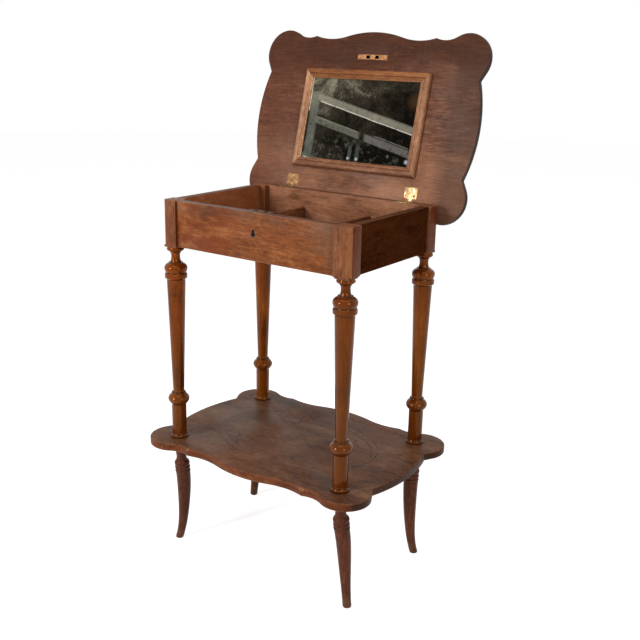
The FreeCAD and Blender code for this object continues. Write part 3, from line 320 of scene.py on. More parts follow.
def arrisWearGroup():
    # where an outer edge has been rubbed, broken up by noise
    group, given, result = newGroup("arrisWear", {"Vector": None, "Reach": 0.0015, "Amount": 1.0},
                                    ["Mask"])
    rounded = shaderNode(group, "Bevel", {"Radius": given["Reach"]}, samples=6).outputs[0]
    normal = shaderNode(group, "NewGeometry").outputs["Normal"]
    level = vectorNode(group, "DOT_PRODUCT", rounded, normal, output="Value")
    patch = ramp(group, noise(group, given["Vector"], 55.0, 4.0, 0.65), 0.36, 0.62)
    feedAll(group, result, {
        "Mask": allOf(group, ramp(group, level, 0.995, 0.86), patch, given["Amount"])})
    return group


def creviceGroup():
    # dirt and painted shade: darkening in grooves, corners and where parts meet, from ambient occlusion
    group, given, result = newGroup("crevice", {"Reach": 0.006, "Amount": 1.0}, ["Mask"])
    shade = shaderNode(group, "AmbientOcclusion", {"Distance": given["Reach"]}, samples=6)
    corner = ramp(group, shade.outputs["AO"], 0.75, 0.25)
    feedAll(group, result, {"Mask": allOf(group, corner, given["Amount"])})
    return group


def scratchGroup():
    # fine scratches, and patches where the varnish is rubbed dull
    group, given, result = newGroup("scratches", {"Vector": None, "Amount": 1.0}, ["Mask", "Rub"])
    rub = ramp(group, noise(group, given["Vector"], 9.0, 3.0), 0.45, 0.7)
    # how often along each axis, the way they run, bend, and where a line starts and is full
    sets = [((14, 700, 14), 31, 0.6, 0.7, 0.74), ((600, 16, 16), -48, 0.5, 0.71, 0.75)]
    first, second = (ramp(group, noise(group, stretched(group, given["Vector"], scale, (0, 0, way)),
                                       1.0, 1.0, 0.5, bend), start, full)
                     for scale, way, bend, start, full in sets)
    lines = mathNode(group, "MAXIMUM", first, second)
    feedAll(group, result, {"Mask": allOf(group, lines, rub, given["Amount"]), "Rub": rub})
    return group


def bandGroup():
    # a soft band along one coordinate, broken up by noise
    group, given, result = newGroup("patchBand", {
        "Along": 0.0, "Cover": 1.0, "Start": 0.0, "Full": 0.1, "Falling": 0.2, "End": 0.3,
        "Low": 0.4, "High": 0.6, "Amount": 1.0}, ["Mask"])
    rise = ramp(group, given["Along"], given["Start"], given["Full"])
    fall = ramp(group, given["Along"], given["Falling"], given["End"], 1.0, 0.0)
    cover = ramp(group, given["Cover"], given["Low"], given["High"])
    feedAll(group, result, {"Mask": allOf(group, rise, fall, cover, given["Amount"])})
    return group


def inlayArcGroup():
    # one curved line of stringing: a stretch of an oval, as shares of a full turn
    group, given, result = newGroup("inlayArc", {
        "Vector": None, "Centre": None, "Radii": None, "Width": 0.001, "Start": 0.0, "End": 1.0},
        ["Mask"])
    away = vectorNode(group, "SUBTRACT", given["Vector"], given["Centre"])
    parts = axesOf(group, vectorNode(group, "DIVIDE", away, given["Radii"]))
    radii = axesOf(group, given["Radii"])
    level = shaderNode(group, "CombineXYZ", {"X": parts["X"], "Y": parts["Y"]}).outputs[0]
    length = vectorNode(group, "LENGTH", level, output="Value")
    mean = mathNode(group, "MULTIPLY", mathNode(group, "ADD", radii["X"], radii["Y"]), 0.5)
    off = mathNode(group, "MULTIPLY", mathNode(group, "ABSOLUTE", mathNode(
        group, "SUBTRACT", length, 1.0)), mean)
    core = mathNode(group, "MULTIPLY", given["Width"], 0.4)
    angle = mathNode(group, "ARCTAN2", parts["Y"], parts["X"])
    turned = mathNode(group, "ADD", mathNode(group, "DIVIDE", angle, math.tau), 0.5)
    feedAll(group, result, {"Mask": allOf(
        group, ramp(group, off, core, given["Width"], 1.0, 0.0),
        mathNode(group, "GREATER_THAN", turned, given["Start"]),
        mathNode(group, "LESS_THAN", turned, given["End"]))})
    return group


woodFigure = woodFigureGroup()
arrisWear = arrisWearGroup()
crevice = creviceGroup()
scratches = scratchGroup()
patchBand = bandGroup()
inlayArc = inlayArcGroup()


# The woods and metals, each with what holds where a look says nothing else

grainTurns = {"x": (0, 0, 0), "y": (0, 0, 90), "z": (0, 90, 0)}
# tones are a dark, a middle and a light one; reaches, depths and runs are in metres; patches are
# rows of axis, run, tone, amount, how often they are broken up along X, Y and Z, and cover
plainWood = {
    "along": "x", "blotches": 0.6, "streaks": 0.6, "lines": 0.6, "mottle": 0.7, "pores": 0.2,
    "shade": (0.86, 1.14), "patches": [], "faces": [], "relief": 0.25, "depth": 0.0004,
    "roughness": 0.5, "rub": 0.12, "specular": 0.12, "glossTone": (255, 255, 255),
    "wear": 0.7, "wearReach": 0.0016, "wearTone": (190, 140, 105), "wearDull": 0.2,
    # the crevice darkening comes from these three: dirt and painted shade
    "dirtAndShade": 0.8, "dirtAndShadeReach": 0.006, "dirtAndShadeTone": (30, 15, 8),
    "scratches": 0.3, "scratchTone": (170, 135, 110)}
plainMetal = {
    "cloud": 160.0, "brushed": (120, 2600, 2600), "brushedDull": 0.08, "metallic": 1.0,
    # the crevice darkening comes from these three: dirt and painted shade
    "relief": 0.15, "depth": 0.0002, "dirtAndShade": 0.7, "dirtAndShadeReach": 0.002, "dirtAndShadeTone": (45, 33, 20),
    "wear": 0.6, "wearReach": 0.0006}


def figured(tree, place, look):
    look = {**plainWood, **look}
    dark, middle, light = (tone(*shade) for shade in look["tones"])
    return useGroup(tree, woodFigure, {
        "Vector": stretched(tree, place, (1, 1, 1), grainTurns[look["along"]]),
        "Dark": dark, "Middle": middle, "Light": light, "Blotches": look["blotches"],
        "Streaks": look["streaks"], "Lines": look["lines"], "Mottle": look["mottle"],
        "Pores": look["pores"]})


def bandMask(tree, along, run, spread, cover, amount):
    # run: where the band starts, is full, falls and ends; cover: where the spread counts and is full
    names = ("Along", "Start", "Full", "Falling", "End", "Cover", "Low", "High", "Amount")
    values = (along, *run, spread, *cover, amount)
    return useGroup(tree, patchBand, dict(zip(names, values)))["Mask"]


def addPatch(tree, place, colour, axis, run, paint, amount, stretch, cover=(0.4, 0.6)):
    # a stain or a lighter stretch along one axis, broken up as often as the stretch says
    spread = noise(tree, stretched(tree, place, stretch), 1.0, 4.0, 0.6)
    mask = bandMask(tree, axesOf(tree, place)[axis], run, spread, cover, amount)
    return mixColour(tree, mask, colour, tone(*paint))


def addInlay(tree, place, colour, inlay):
    # worn stringing: arcs as (centre x, y, radius x, y, start, end), in millimetres and turns
    total = 0.0
    for x, y, radiusX, radiusY, start, end in inlay["arcs"]:
        mask = useGroup(tree, inlayArc, {
            "Vector": place, "Centre": (x * mm, y * mm, 0), "Radii": (radiusX * mm, radiusY * mm, 1),
            "Width": inlay["width"] * mm, "Start": start, "End": end})["Mask"]
        total = mathNode(tree, "MAXIMUM", total, mask)
    worn = ramp(tree, noise(tree, place, 16.0, 4.0, 0.65), 0.36, 0.6)
    return mixColour(tree, allOf(tree, total, worn, inlay["amount"]), colour, tone(*inlay["tone"]))


def edgeMasks(tree, place, look):
    # the crevice mask paints shade as well as dirt
    dirtAndShade = useGroup(tree, crevice, {"Reach": look["dirtAndShadeReach"], "Amount": look["dirtAndShade"]})["Mask"]
    wear = useGroup(tree, arrisWear, {
        "Vector": place, "Reach": look["wearReach"], "Amount": look["wear"]})["Mask"]
    return dirtAndShade, wear


def bumpNode(tree, height, look):
    return shaderNode(tree, "Bump", {
        "Height": height, "Strength": look["relief"], "Distance": look["depth"]}).outputs["Normal"]


def wood(name, look):
    # a varnished wood; look holds its tones and how worn it is
    look = {**plainWood, **look}
    material, tree, shader = newMaterial(name)
    place = objectPlace(tree)
    figure = figured(tree, place, look)
    colour = figure["Color"]
    for patch in look["patches"]:
        colour = addPatch(tree, place, colour, *patch)
    if "inlay" in look:
        colour = addInlay(tree, place, colour, look["inlay"])
    # the grain still shows through the stains
    shade = ramp(tree, figure["Figure"], 0.3, 0.7, *look["shade"], False)
    colour = mixColour(tree, 1.0, colour, shade, "MULTIPLY")
    for face in look["faces"]:
        share = facingShare(tree, face["axis"], face["low"], face["high"])
        colour = mixColour(tree, share, colour, figured(tree, place, face)["Color"])
    dirtAndShade, wear = edgeMasks(tree, place, look)
    marks = useGroup(tree, scratches, {"Vector": place, "Amount": look["scratches"]})
    # the crevice mask paints shade as well as dirt; wear and scratches are the wood's own
    for mask, paint in ((dirtAndShade, "dirtAndShadeTone"), (wear, "wearTone"), (marks["Mask"], "scratchTone")):
        colour = mixColour(tree, mask, colour, tone(*look[paint]))
    gloss = look["roughness"]
    rubbed = ramp(tree, marks["Rub"], 0, 1, gloss, gloss + look["rub"])
    worn = mathNode(tree, "MULTIPLY", wear, look["wearDull"])
    feedAll(tree, shader, {
        "Base Color": colour, "Roughness": mathNode(tree, "ADD", rubbed, worn, use_clamp=True),
        "Specular IOR Level": look["specular"], "Specular Tint": tone(*look["glossTone"]),
        "Normal": bumpNode(tree, figure["Height"], look)})
    return material


def metal(name, look):
    # worn metal with a mottled tarnish
    look = {**plainMetal, **look}
    material, tree, shader = newMaterial(name)
    place = objectPlace(tree)
    cloud = noise(tree, place, look["cloud"], 5.0, 0.65)
    brushed = noise(tree, stretched(tree, place, look["brushed"]))
    colour = mixColour(tree, ramp(tree, cloud, 0.35, 0.62), tone(*look["clean"]), tone(*look["tarnish"]))
    dirtAndShade, wear = edgeMasks(tree, place, look)
    # the crevice mask paints shade as well as dirt
    colour = mixColour(tree, dirtAndShade, colour, tone(*look["dirtAndShadeTone"]))
    colour = mixColour(tree, wear, colour, tone(*look["clean"]))
    rough = mathNode(tree, "ADD", ramp(tree, cloud, 0.3, 0.7, *look["roughness"]),
                     mathNode(tree, "MULTIPLY", brushed, look["brushedDull"]))
    feedAll(tree, shader, {"Base Color": colour, "Metallic": look["metallic"], "Roughness": rough,
                           "Normal": bumpNode(tree, brushed, look)})
    return material


# The camera stands where the photograph was taken

view = {
    "aim": (0.0499, 0.0, 0.4921), "azimuth": 35.025, "height": 16.494, "roll": 1.237,
    "distance": 1.7795, "focalPixels": 942.47, "framePixels": 640, "sensor": 36, "nearest": 0.05}


def makeCamera():
    azimuth, rise, roll = (math.radians(view[key]) for key in ("azimuth", "height", "roll"))
    ahead = Vector((-math.sin(azimuth) * math.cos(rise), math.cos(azimuth) * math.cos(rise),
                    -math.sin(rise)))
    across = Vector((math.cos(azimuth), math.sin(azimuth), 0))
    upwards = across.cross(ahead)
    right = across * math.cos(roll) + upwards * math.sin(roll)
    top = upwards * math.cos(roll) - across * math.sin(roll)
    data = bpy.data.cameras.new("camera")
    data.sensor_width = view["sensor"]
    data.lens = view["focalPixels"] / view["framePixels"] * view["sensor"]
    data.clip_start = view["nearest"]
    camera = newObject("camera", data)
    camera.matrix_world = Matrix((right, top, -ahead)).transposed().to_4x4()
    camera.location = Vector(view["aim"]) - ahead * view["distance"]
    bpy.context.scene.camera = camera


# Soft studio light: two upright lamps in front, a broad one overhead, and a pale room

lamps = {
    "keyLamp": {"place": (-0.84, -2.38, 1.3), "size": (0.36, 0.8), "power": 38, "tone": (1.0, 0.97, 0.94)},
    "sideLamp": {"place": (2.3, -1.1, 1.3), "size": (0.32, 0.6), "power": 18, "tone": (1.0, 0.98, 0.95)},
    "topLamp": {"place": (0.2, -0.4, 2.6), "size": (1.6, 1.6), "power": 15, "tone": (1.0, 1.0, 1.0)}}
room = {
    "lampAim": (0, 0, 0.6), "light": 0.28, "seen": 1.0, "floorTone": 0.8, "floorGlow": 0.76,
    "floorRadius": 9, "floorDrop": 0.0005}


def seenShare(tree):
    # 1 for what the camera, a gloss or a glass sees
    path = shaderNode(tree, "LightPath").outputs
    gloss = mathNode(tree, "MAXIMUM", path["Is Glossy Ray"], path["Is Transmission Ray"])
    return mathNode(tree, "MAXIMUM", path["Is Camera Ray"], gloss)


def makeLight():
    for name, lamp in lamps.items():
        data = bpy.data.lights.new(name, "AREA")
        data.shape = "RECTANGLE"
        data.size, data.size_y = lamp["size"]
        data.energy = lamp["power"]
        data.color = lamp["tone"]
        light = newObject(name, data)
        light.location = lamp["place"]
        aim = Vector(room["lampAim"]) - light.location
        light.rotation_euler = aim.to_track_quat("-Z", "Y").to_euler()
    world = bpy.data.worlds.new("room")
    bpy.context.scene.world = world
    world.use_nodes = True
    tree = world.node_tree
    strength = ramp(tree, seenShare(tree), 0, 1, room["light"], room["seen"], False)
    feedAll(tree, tree.nodes["Background"], {"Color": (1, 1, 1, 1), "Strength": strength})
    bpy.context.scene.view_settings.view_transform = "Standard"


def makeFloor():
    floor = primitive("floor", bpy.ops.mesh.primitive_circle_add, vertices=64, fill_type="NGON",
                      radius=room["floorRadius"], location=(0, 0, -room["floorDrop"]))
    material, tree, shader = newMaterial("paleFloor")
    feedAll(tree, shader, {
        "Base Color": (room["floorTone"],) * 3 + (1,), "Roughness": 1, "Specular IOR Level": 0,
        "Emission Color": (1, 1, 1, 1),
        "Emission Strength": allOf(tree, seenShare(tree), room["floorGlow"])})
    floor.data.materials.append(material)


makeCamera()
makeLight()
makeFloor()
print("camera, light and floor are set")


# The turned legs, with their square posts

legWood = {
    "tones": [(72, 24, 0), (114, 48, 0), (148, 80, 6)], "along": "z",
    "blotches": 0.9, "streaks": 0.4, "mottle": 0.3, "pores": 0.15, "relief": 0.06,
    "roughness": 0.14, "specular": 0.36, "glossTone": (255, 188, 132), "rub": 0.05,
    "wear": 0.3, "wearTone": (160, 96, 50), "dirtAndShade": 1.0, "dirtAndShadeReach": 0.012,
    "dirtAndShadeTone": (20, 7, 1), "scratches": 0.1,
    "patches": [("Z", (0.2, 0.24, 0.36, 0.52), (80, 42, 14), 0.55, (12, 12, 6), (0.2, 0.45)),
                # this patch darkens the right-hand legs: painted shade
                ("X", (0.1, 0.15, 0.25, 0.3), (82, 38, 8), 0.5, (12, 12, 6), (0.2, 0.45))]}
# painted shade and dirt in the turned grooves: heights above the shelf and half width, in millimetres
grooveShadeAndDirt = {
    "heights": (6.5, 70.0, 94.5, 323.4, 335.7, 355.3, 376.6), "half": 1.7,
    "tone": (34, 12, 2), "amount": 0.85, "stretch": (9, 9, 30), "cover": (0.0, 0.3)}
# its faces are the right-hand sides, darker as painted shade, and the front right post's chamfer, lighter
# as painted light
postWood = {
    "tones": [(92, 50, 28), (120, 71, 43), (142, 92, 62)], "along": "z",
    "lines": 0.8, "roughness": 0.42, "wear": 0.8, "wearTone": (178, 128, 94), "dirtAndShade": 0.6,
    "faces": [{"axis": (1, 0, 0), "low": 0.75, "high": 0.9, "along": "z",
               "tones": [(76, 34, 13), (100, 50, 22), (120, 66, 34)]},
              {"axis": (0.7071, -0.7071, 0), "low": 0.93, "high": 0.98, "along": "z",
               "tones": [(118, 68, 36), (144, 90, 54), (160, 106, 70)]}]}

# radius and height above the shelf, in millimetres; a third number rounds the way to the next point
legProfile = [
    (15.8, 0.0, 1.4), (15.8, 4.2, -0.5), (14.0, 10.0, 0), (14.3, 69.2, 0), (15.6, 70.8, 6.2),
    (13.6, 91.4, 1.3), (12.2, 95.4, -0.6), (10.95, 98.4, 0), (17.9, 322.6, 0), (19.8, 324.0, 0),
    (21.4, 325.6, 0), (21.4, 332.6, 0), (19.8, 334.2, 0), (19.5, 334.6, 0), (19.5, 336.8, 0),
    (20.2, 337.0, 4.8), (13.5, 354.0, 0), (13.5, 355.4, 0), (10.8, 355.4, -1.6), (9.3, 373.0, 1.4),
    (9.3, 376.4, 0), (13.2, 376.9, 2.3), (15.2, 384.0, 0), (15.2, 385.2, 0), (0.0, 385.2, 0)]
# in millimetres, with the shelf's top and the post's foot as heights over the floor
legSizes = {
    "shelfTop": 236.4, "postBase": 624.4, "postSide": 34.0, "chamfer": 8.4, "step": 2.4,
    "stepHeight": 3.0, "stepOverlap": 1, "arris": 0.7, "cornerReach": 0.1}
turning = {"steps": 56, "longArc": 8, "longSteps": 12, "shortSteps": 7, "smooth": 38}


def bulged(points):
    # the outline as a chain of points, with arcs where a bulge is given
    chain = []
    for index, (radius, height, bulge) in enumerate(points):
        chain.append((radius, height))
        if not bulge or index + 1 == len(points):
            continue
        nextRadius, nextHeight, _ = points[index + 1]
        run, rise = nextRadius - radius, nextHeight - height
        length = math.hypot(run, rise)
        across = (rise / length, -run / length)
        steps = turning["longSteps"] if length > turning["longArc"] else turning["shortSteps"]
        for step in range(1, steps):
            share = step / steps
            swell = bulge * 4 * share * (1 - share)
            chain.append((radius + run * share + across[0] * swell,
                          height + rise * share + across[1] * swell))
    return chain


def turn(name, chain):
    # a chain of points spun about the upright axis
    piece = drawChain(name, [Vector((radius * mm, 0, height * mm)) for radius, height in chain])
    bpy.ops.mesh.spin(steps=turning["steps"], angle=math.tau, center=(0, 0, 0), axis=(0, 0, 1))
    wholeMesh()
    mergeDrawn()
    closeShape(turning["smooth"])
    return piece


def block(name, low, high):
    # a squared block between two corners, in millimetres
    piece = primitive(name, bpy.ops.mesh.primitive_cube_add, size=1,
                      location=[(a + b) / 2 * mm for a, b in zip(low, high)],
                      scale=[(b - a) * mm for a, b in zip(low, high)])
    bpy.ops.object.transform_apply(location=True, rotation=True, scale=True)
    return piece


def selectEdges(piece, test):
    # picks the edges whose two ends pass the test, and stays in edit mode
    pick(piece)
    editMode(True)
    bpy.ops.mesh.select_mode(type="EDGE")
    bpy.ops.mesh.select_all(action="DESELECT")
    editMode(False)
    mesh = piece.data
    for edge in mesh.edges:
        edge.select = all(test(mesh.vertices[index].co) for index in edge.vertices)
    editMode(True)


def makePost():
    half = legSizes["postSide"] / 2
    corner = (half - legSizes["cornerReach"]) * mm
    base = legSizes["postBase"] - legSizes["shelfTop"]
    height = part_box("front_left_leg")[1][2] / mm - legSizes["shelfTop"]
    post = block("post", (-half, -half, base), (half, half, height))
    selectEdges(post, lambda point: min(point.x, point.y) > corner)
    bpy.ops.mesh.bevel(offset=legSizes["chamfer"] * mm, offset_type="OFFSET", segments=1,
                       affect="EDGES", clamp_overlap=False)
    editMode(False)
    inner = half - legSizes["step"]
    step = block("postStep", (-inner, -inner, base - legSizes["stepHeight"]),
                 (inner, inner, base + legSizes["stepOverlap"]))
    soften(post, legSizes["arris"], 3)
    soften(step, legSizes["arris"] / 2)
    return post, step


def mirrored(source, name, sideX, sideY, shift):
    # a copy with its own mesh, reflected to its corner and moved there
    mesh = source.data.copy()
    mesh.transform(Matrix.Translation(shift) @ Matrix.Diagonal((sideX, sideY, 1, 1)))
    if sideX * sideY < 0:
        mesh.flip_normals()
    return newObject(name, mesh)


def grooveRings():
    # dark rings of painted shade and dirt, each full over its middle third
    rings = []
    for height in grooveShadeAndDirt["heights"]:
        middle, half = (legSizes["shelfTop"] + height) * mm, grooveShadeAndDirt["half"] * mm
        run = (middle - half, middle - half / 3, middle + half / 3, middle + half)
        rings.append(("Z", run, *(grooveShadeAndDirt[key] for key in ("tone", "amount", "stretch", "cover"))))
    return rings


def makeLegs():
    varnished = wood("legVarnish", dict(legWood, patches=legWood["patches"] + grooveRings()))
    worn = wood("postWood", postWood)
    turned = turn("legTurning", bulged(legProfile))
    turned.data.materials.append(varnished)
    post, step = makePost()
    for piece in (post, step):
        piece.data.materials.append(worn)
    pick(turned, post, step)
    bpy.ops.object.join()
    for label, sideX, sideY in (("front_left", -1, -1), ("front_right", 1, -1),
                                ("back_left", -1, 1), ("back_right", 1, 1)):
        low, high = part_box(label + "_leg")
        shift = Vector(((low[0] + high[0]) / 2, (low[1] + high[1]) / 2, legSizes["shelfTop"] * mm))
        leg = mirrored(turned, label + "_turned_leg", sideX, sideY, shift)
        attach(leg, "case")
        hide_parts(label + "_leg")
    bpy.data.objects.remove(turned)


makeLegs()
print("legs made")


# The aprons, the partitions and the bottom of the case

apronWood = {
    "tones": [(98, 49, 22), (131, 73, 36), (152, 96, 56)],
    "blotches": 0.9, "streaks": 0.7, "lines": 0.9, "roughness": 0.46, "wear": 0.8,
    # the long crevice reach paints shade into the keyhole, as well as dirt
    "wearTone": (176, 132, 102), "wearReach": 0.0022, "dirtAndShade": 1.0, "dirtAndShadeReach": 0.01,
    "scratches": 0.35,
    "patches": [
        ("X", (-0.2, -0.17, -0.1, 0.0), (112, 48, 16), 0.85, (16, 9, 40), (0.42, 0.58)),
        # a greyish lighter stretch near the right end: painted reflection
        ("X", (0.09, 0.16, 0.2, 0.21), (110, 78, 58), 0.6, (12, 9, 24)),
        ("Z", (0.68, 0.7, 0.71, 0.72), (112, 78, 58), 0.5, (20, 9, 60)),
        ("X", (-0.19, -0.1, 0.1, 0.19), (76, 40, 22), 0.35, (20, 9, 240), (0.54, 0.66))]}
# the right apron: its own darker wood, darkened further as painted shade on the side away from the key
# lamp
rightWood = {
    "tones": [(52, 22, 8), (70, 34, 15), (84, 44, 22)], "along": "y", "streaks": 0.5,
    "roughness": 0.6, "specular": 0.0, "wear": 0.5, "wearTone": (112, 68, 42),
    "scratches": 0.15, "scratchTone": (88, 52, 32)}
leftWood = {
    "tones": [(80, 42, 22), (104, 58, 32), (124, 74, 44)], "along": "y", "streaks": 0.5,
    "specular": 0.1, "wearTone": (160, 112, 82), "scratches": 0.2}
leftInside = {
    "axis": (1, 0, 0), "low": 0.6, "high": 0.9, "along": "y",
    "tones": [(114, 64, 34), (142, 80, 46), (162, 100, 64)]}
backWood = {
    "tones": [(114, 72, 48), (148, 100, 72), (170, 122, 92)],
    "streaks": 0.7, "mottle": 0.5, "pores": 0.25, "specular": 0.1, "wearTone": (176, 134, 106),
    "patches": [("X", (-0.2, -0.15, 0.15, 0.2), (92, 54, 34), 0.6, (14, 8, 40), (0.5, 0.66))]}
innerWood = {
    "tones": [(84, 46, 26), (112, 66, 42), (134, 86, 60)], "along": "y",
    "roughness": 0.6, "specular": 0.08, "wearTone": (156, 112, 82), "scratches": 0.2}
rimFace = {
    "axis": (0, 0, 1), "low": 0.8, "high": 0.95,
    "tones": [(80, 50, 35), (100, 64, 46), (118, 80, 60)]}
# the round on the edges of the aprons, the boards inside, and the shelf and lid, in millimetres
boardArris = {"apron": 0.6, "inner": 0.5, "broad": 0.9}


def makeCase():
    looks = {"front_apron": apronWood, "back_apron": backWood, "left_apron": leftWood,
             "right_apron": rightWood}
    for node, look in looks.items():
        inside = [leftInside] if node == "left_apron" else []
        withRim = dict(look, faces=inside + [dict(rimFace, along=look.get("along", "x"))])
        apron = soften(mergedCopy(node, node + "_board"), boardArris["apron"])
        finishPiece(apron, "case", wood(node + "Wood", withRim), node)
    boards = {"left_partition": innerWood, "right_partition": innerWood,
              "case_bottom": dict(innerWood, along="x")}
    for node, look in boards.items():
        board = soften(mergedCopy(node, node + "_board"), boardArris["inner"])
        finishPiece(board, "case", wood(node + "Wood", look), node)


makeCase()
print("case made")


# The shelf and the lid

# arcs of the shelf's worn inlay: an oval ring, a second line within it, and scrolls at its sides
shelfArcs = [
    (0, 0, 174, 120, 0.0, 1.0), (6, -4, 160, 106, 0.52, 0.84), (-6, 4, 160, 106, 0.02, 0.34),
    (-150, -66, 52, 30, 0.5, 1.0), (-118, -96, 40, 26, 0.25, 0.75), (-196, -60, 40, 18, 0.5, 0.9),
    (150, 66, 52, 30, 0.0, 0.5), (118, 96, 40, 26, 0.75, 1.0), (196, 60, 40, 18, 0.0, 0.4),
    (72, -92, 34, 34, 0.4, 1.0), (60, -70, 16, 16, 0.0, 0.7), (108, -104, 40, 14, 0.0, 0.5),
    (-72, 92, 34, 34, 0.0, 0.6), (-60, 70, 16, 16, 0.3, 1.0)]
# its faces are the edges, the right-hand edge, darker as painted shade, and the underside
shelfWood = {
    "tones": [(78, 48, 30), (104, 66, 42), (118, 84, 60)],
    "blotches": 1.0, "streaks": 0.5, "lines": 0.5, "mottle": 0.9, "roughness": 0.44,
    "specular": 0.1, "wear": 1.0, "wearTone": (182, 126, 86), "wearReach": 0.0042,
    "dirtAndShade": 0.9, "scratches": 0.5, "scratchTone": (136, 106, 86),
    "inlay": {"arcs": shelfArcs, "width": 1.9, "amount": 0.85, "tone": (48, 28, 19)},
    "patches": [
        ("X", (-0.12, -0.04, 0.08, 0.2), (108, 60, 38), 0.55, (7, 7, 7), (0.42, 0.62)),
        ("X", (-0.26, -0.24, -0.14, -0.06), (112, 88, 70), 0.5, (8, 8, 8))],
    "faces": [{"axis": (0, 0, 1), "low": 0.9, "high": 0.55,
               "tones": [(72, 34, 16), (104, 56, 30), (132, 80, 48)]},
              # the right-hand edge: painted shade
              {"axis": (1, 0, 0), "low": 0.55, "high": 0.9,
               "tones": [(40, 20, 11), (58, 32, 20), (76, 44, 28)]},
              {"axis": (0, 0, -1), "low": 0.6, "high": 0.8,
               "tones": [(74, 46, 32), (98, 64, 46), (118, 82, 60)]}]}

# the open lid: how far it leans back past upright, the way it runs up and the way it faces
hinge = next(joint for joint in frame["joints"] if joint["name"] == "lid_hinge")
lidLean = math.radians(hinge["range_deg"][1] - 90)
lidUp = Vector((0, math.sin(lidLean), math.cos(lidLean)))
lidInward = Vector((0, -math.cos(lidLean), math.sin(lidLean)))
lidPlace = Matrix.Translation(hinge["pos_m"]) @ Matrix((
    Vector((1, 0, 0)), lidUp, lidInward)).transposed().to_4x4()
# its faces are the edges, nearly black as painted shade, and the outside
lidWood = {
    "tones": [(76, 40, 26), (104, 62, 43), (124, 80, 60)],
    "blotches": 0.7, "streaks": 0.9, "lines": 1.2, "pores": 0.3, "shade": (0.79, 1.21),
    "roughness": 0.4, "wear": 0.5, "wearTone": (128, 84, 60), "dirtAndShade": 1.0, "dirtAndShadeTone": (30, 13, 7),
    "patches": [
        ("X", (-0.3, -0.22, 0.0, 0.12), (94, 52, 34), 0.5, (6, 6, 12), (0.36, 0.6)),
        # this patch and the next two, greyish and pale, are painted sheen on the right side and along the
        # lower part
        ("X", (0.06, 0.2, 0.3, 0.31), (114, 82, 64), 0.5, (9, 9, 22), (0.36, 0.62)),
        ("X", (0.1, 0.2, 0.3, 0.31), (146, 118, 102), 0.3, (40, 30, 260), (0.5, 0.62)),
        ("Z", (0.66, 0.69, 0.76, 0.84), (160, 112, 84), 0.75, (5, 5, 7), (0.3, 0.56)),
        ("X", (0.17, 0.21, 0.27, 0.28), (76, 50, 38), 0.7, (8, 8, 14), (0.2, 0.45)),
        ("X", (-0.28, -0.26, -0.16, -0.09), (94, 56, 40), 0.5, (8, 8, 14), (0.25, 0.5)),
        ("Z", (0.9, 0.97, 1.1, 1.2), (70, 38, 22), 0.85, (6, 6, 16), (0.25, 0.5))],
    # the edges: painted shade
    "faces": [{"axis": lidInward, "low": 0.8, "high": 0.4,
               "tones": [(22, 13, 10), (34, 21, 16), (48, 30, 23)]},
              {"axis": -lidInward, "low": 0.6, "high": 0.8,
               "tones": [(66, 31, 17), (92, 49, 29), (116, 69, 43)]}]}

# where the shelf's edge has lost a splinter: place and size, in millimetres
chips = {
    "places": [((137, -172, 235.5), (8.0, 3.2, 3.6)), ((-136, -172, 235.5), (6.5, 3.0, 2.6)),
               ((53, -179.5, 236.2), (3.0, 1.6, 1.6)), ((-40, -180.5, 236), (3.4, 1.4, 1.5)),
               ((247, 40, 236.2), (1.6, 4.0, 1.6))],
    "rough": (0.86, 1.1), "seed": 3}


def chip(board, place, size, chance):
    # a splinter: a rough lump cut out of the arris
    lump = primitive("lump", bpy.ops.mesh.primitive_ico_sphere_add, subdivisions=3, radius=1,
                     location=(0, 0, 0))
    editMode(True)
    bpy.ops.transform.resize(value=[length * mm for length in size])
    editMode(False)
    for vertex in lump.data.vertices:
        vertex.co *= chance.uniform(*chips["rough"])
        vertex.co += Vector(place) * mm
    cutAway(board, lump)


def makeBoards():
    shelf = soften(mergedCopy("shelf", "shelf_board"), boardArris["broad"], 3)
    chance = random.Random(chips["seed"])
    for place, size in chips["places"]:
        chip(shelf, place, size, chance)
    finishPiece(shelf, "case", wood("shelfWood", shelfWood), "shelf")
    lid = soften(mergedCopy("lid_board", "lid_panel"), boardArris["broad"], 3)
    finishPiece(lid, "lid", wood("lidWood", lidWood), "lid_board")


makeBoards()
print("shelf and lid made")


# The feet keep their turned solids

footWood = {
    "tones": [(54, 24, 12), (84, 42, 24), (108, 60, 38)], "along": "z",
    "blotches": 0.7, "lines": 0.7, "roughness": 0.36, "wear": 0.4,
    "wearTone": (150, 104, 76), "dirtAndShade": 1.0, "dirtAndShadeReach": 0.005,
    "patches": [("Z", (-0.01, 0.0, 0.012, 0.03), (102, 72, 50), 0.8, (30, 30, 30), (0.3, 0.6))]}
dress(wood("footWood", footWood), "front_left_foot", "front_right_foot", "back_left_foot",
      "back_right_foot")


# The mirror: four mitred mouldings, the old glass and the card behind it

frameWood = {
    "tones": [(104, 64, 40), (144, 98, 68), (174, 128, 94)], "lines": 0.8,
    "mottle": 0.5, "roughness": 0.34, "specular": 0.2, "wearTone": (196, 150, 112),
    "wearReach": 0.0012, "dirtAndShade": 1.0, "dirtAndShadeReach": 0.0032, "dirtAndShadeTone": (66, 32, 14),
    "scratches": 0.2}
cardWood = {
    "tones": [(86, 70, 50), (107, 87, 61), (124, 104, 78)],
    "streaks": 0.2, "pores": 0.1, "roughness": 0.9, "specular": 0.1, "wear": 0.2, "scratches": 0.1}
# lit and shaded copies of the frame's tones, as painted light and shade: the left rail lighter, the bottom
# one darker and the top one more orange than the right one's
railLightAndShade = {
    "bottom": [(86, 49, 29), (122, 78, 52), (152, 106, 76)],
    "top": [(92, 46, 18), (132, 78, 38), (158, 104, 58)],
    "left": [(134, 90, 60), (178, 130, 96), (204, 160, 124)]}
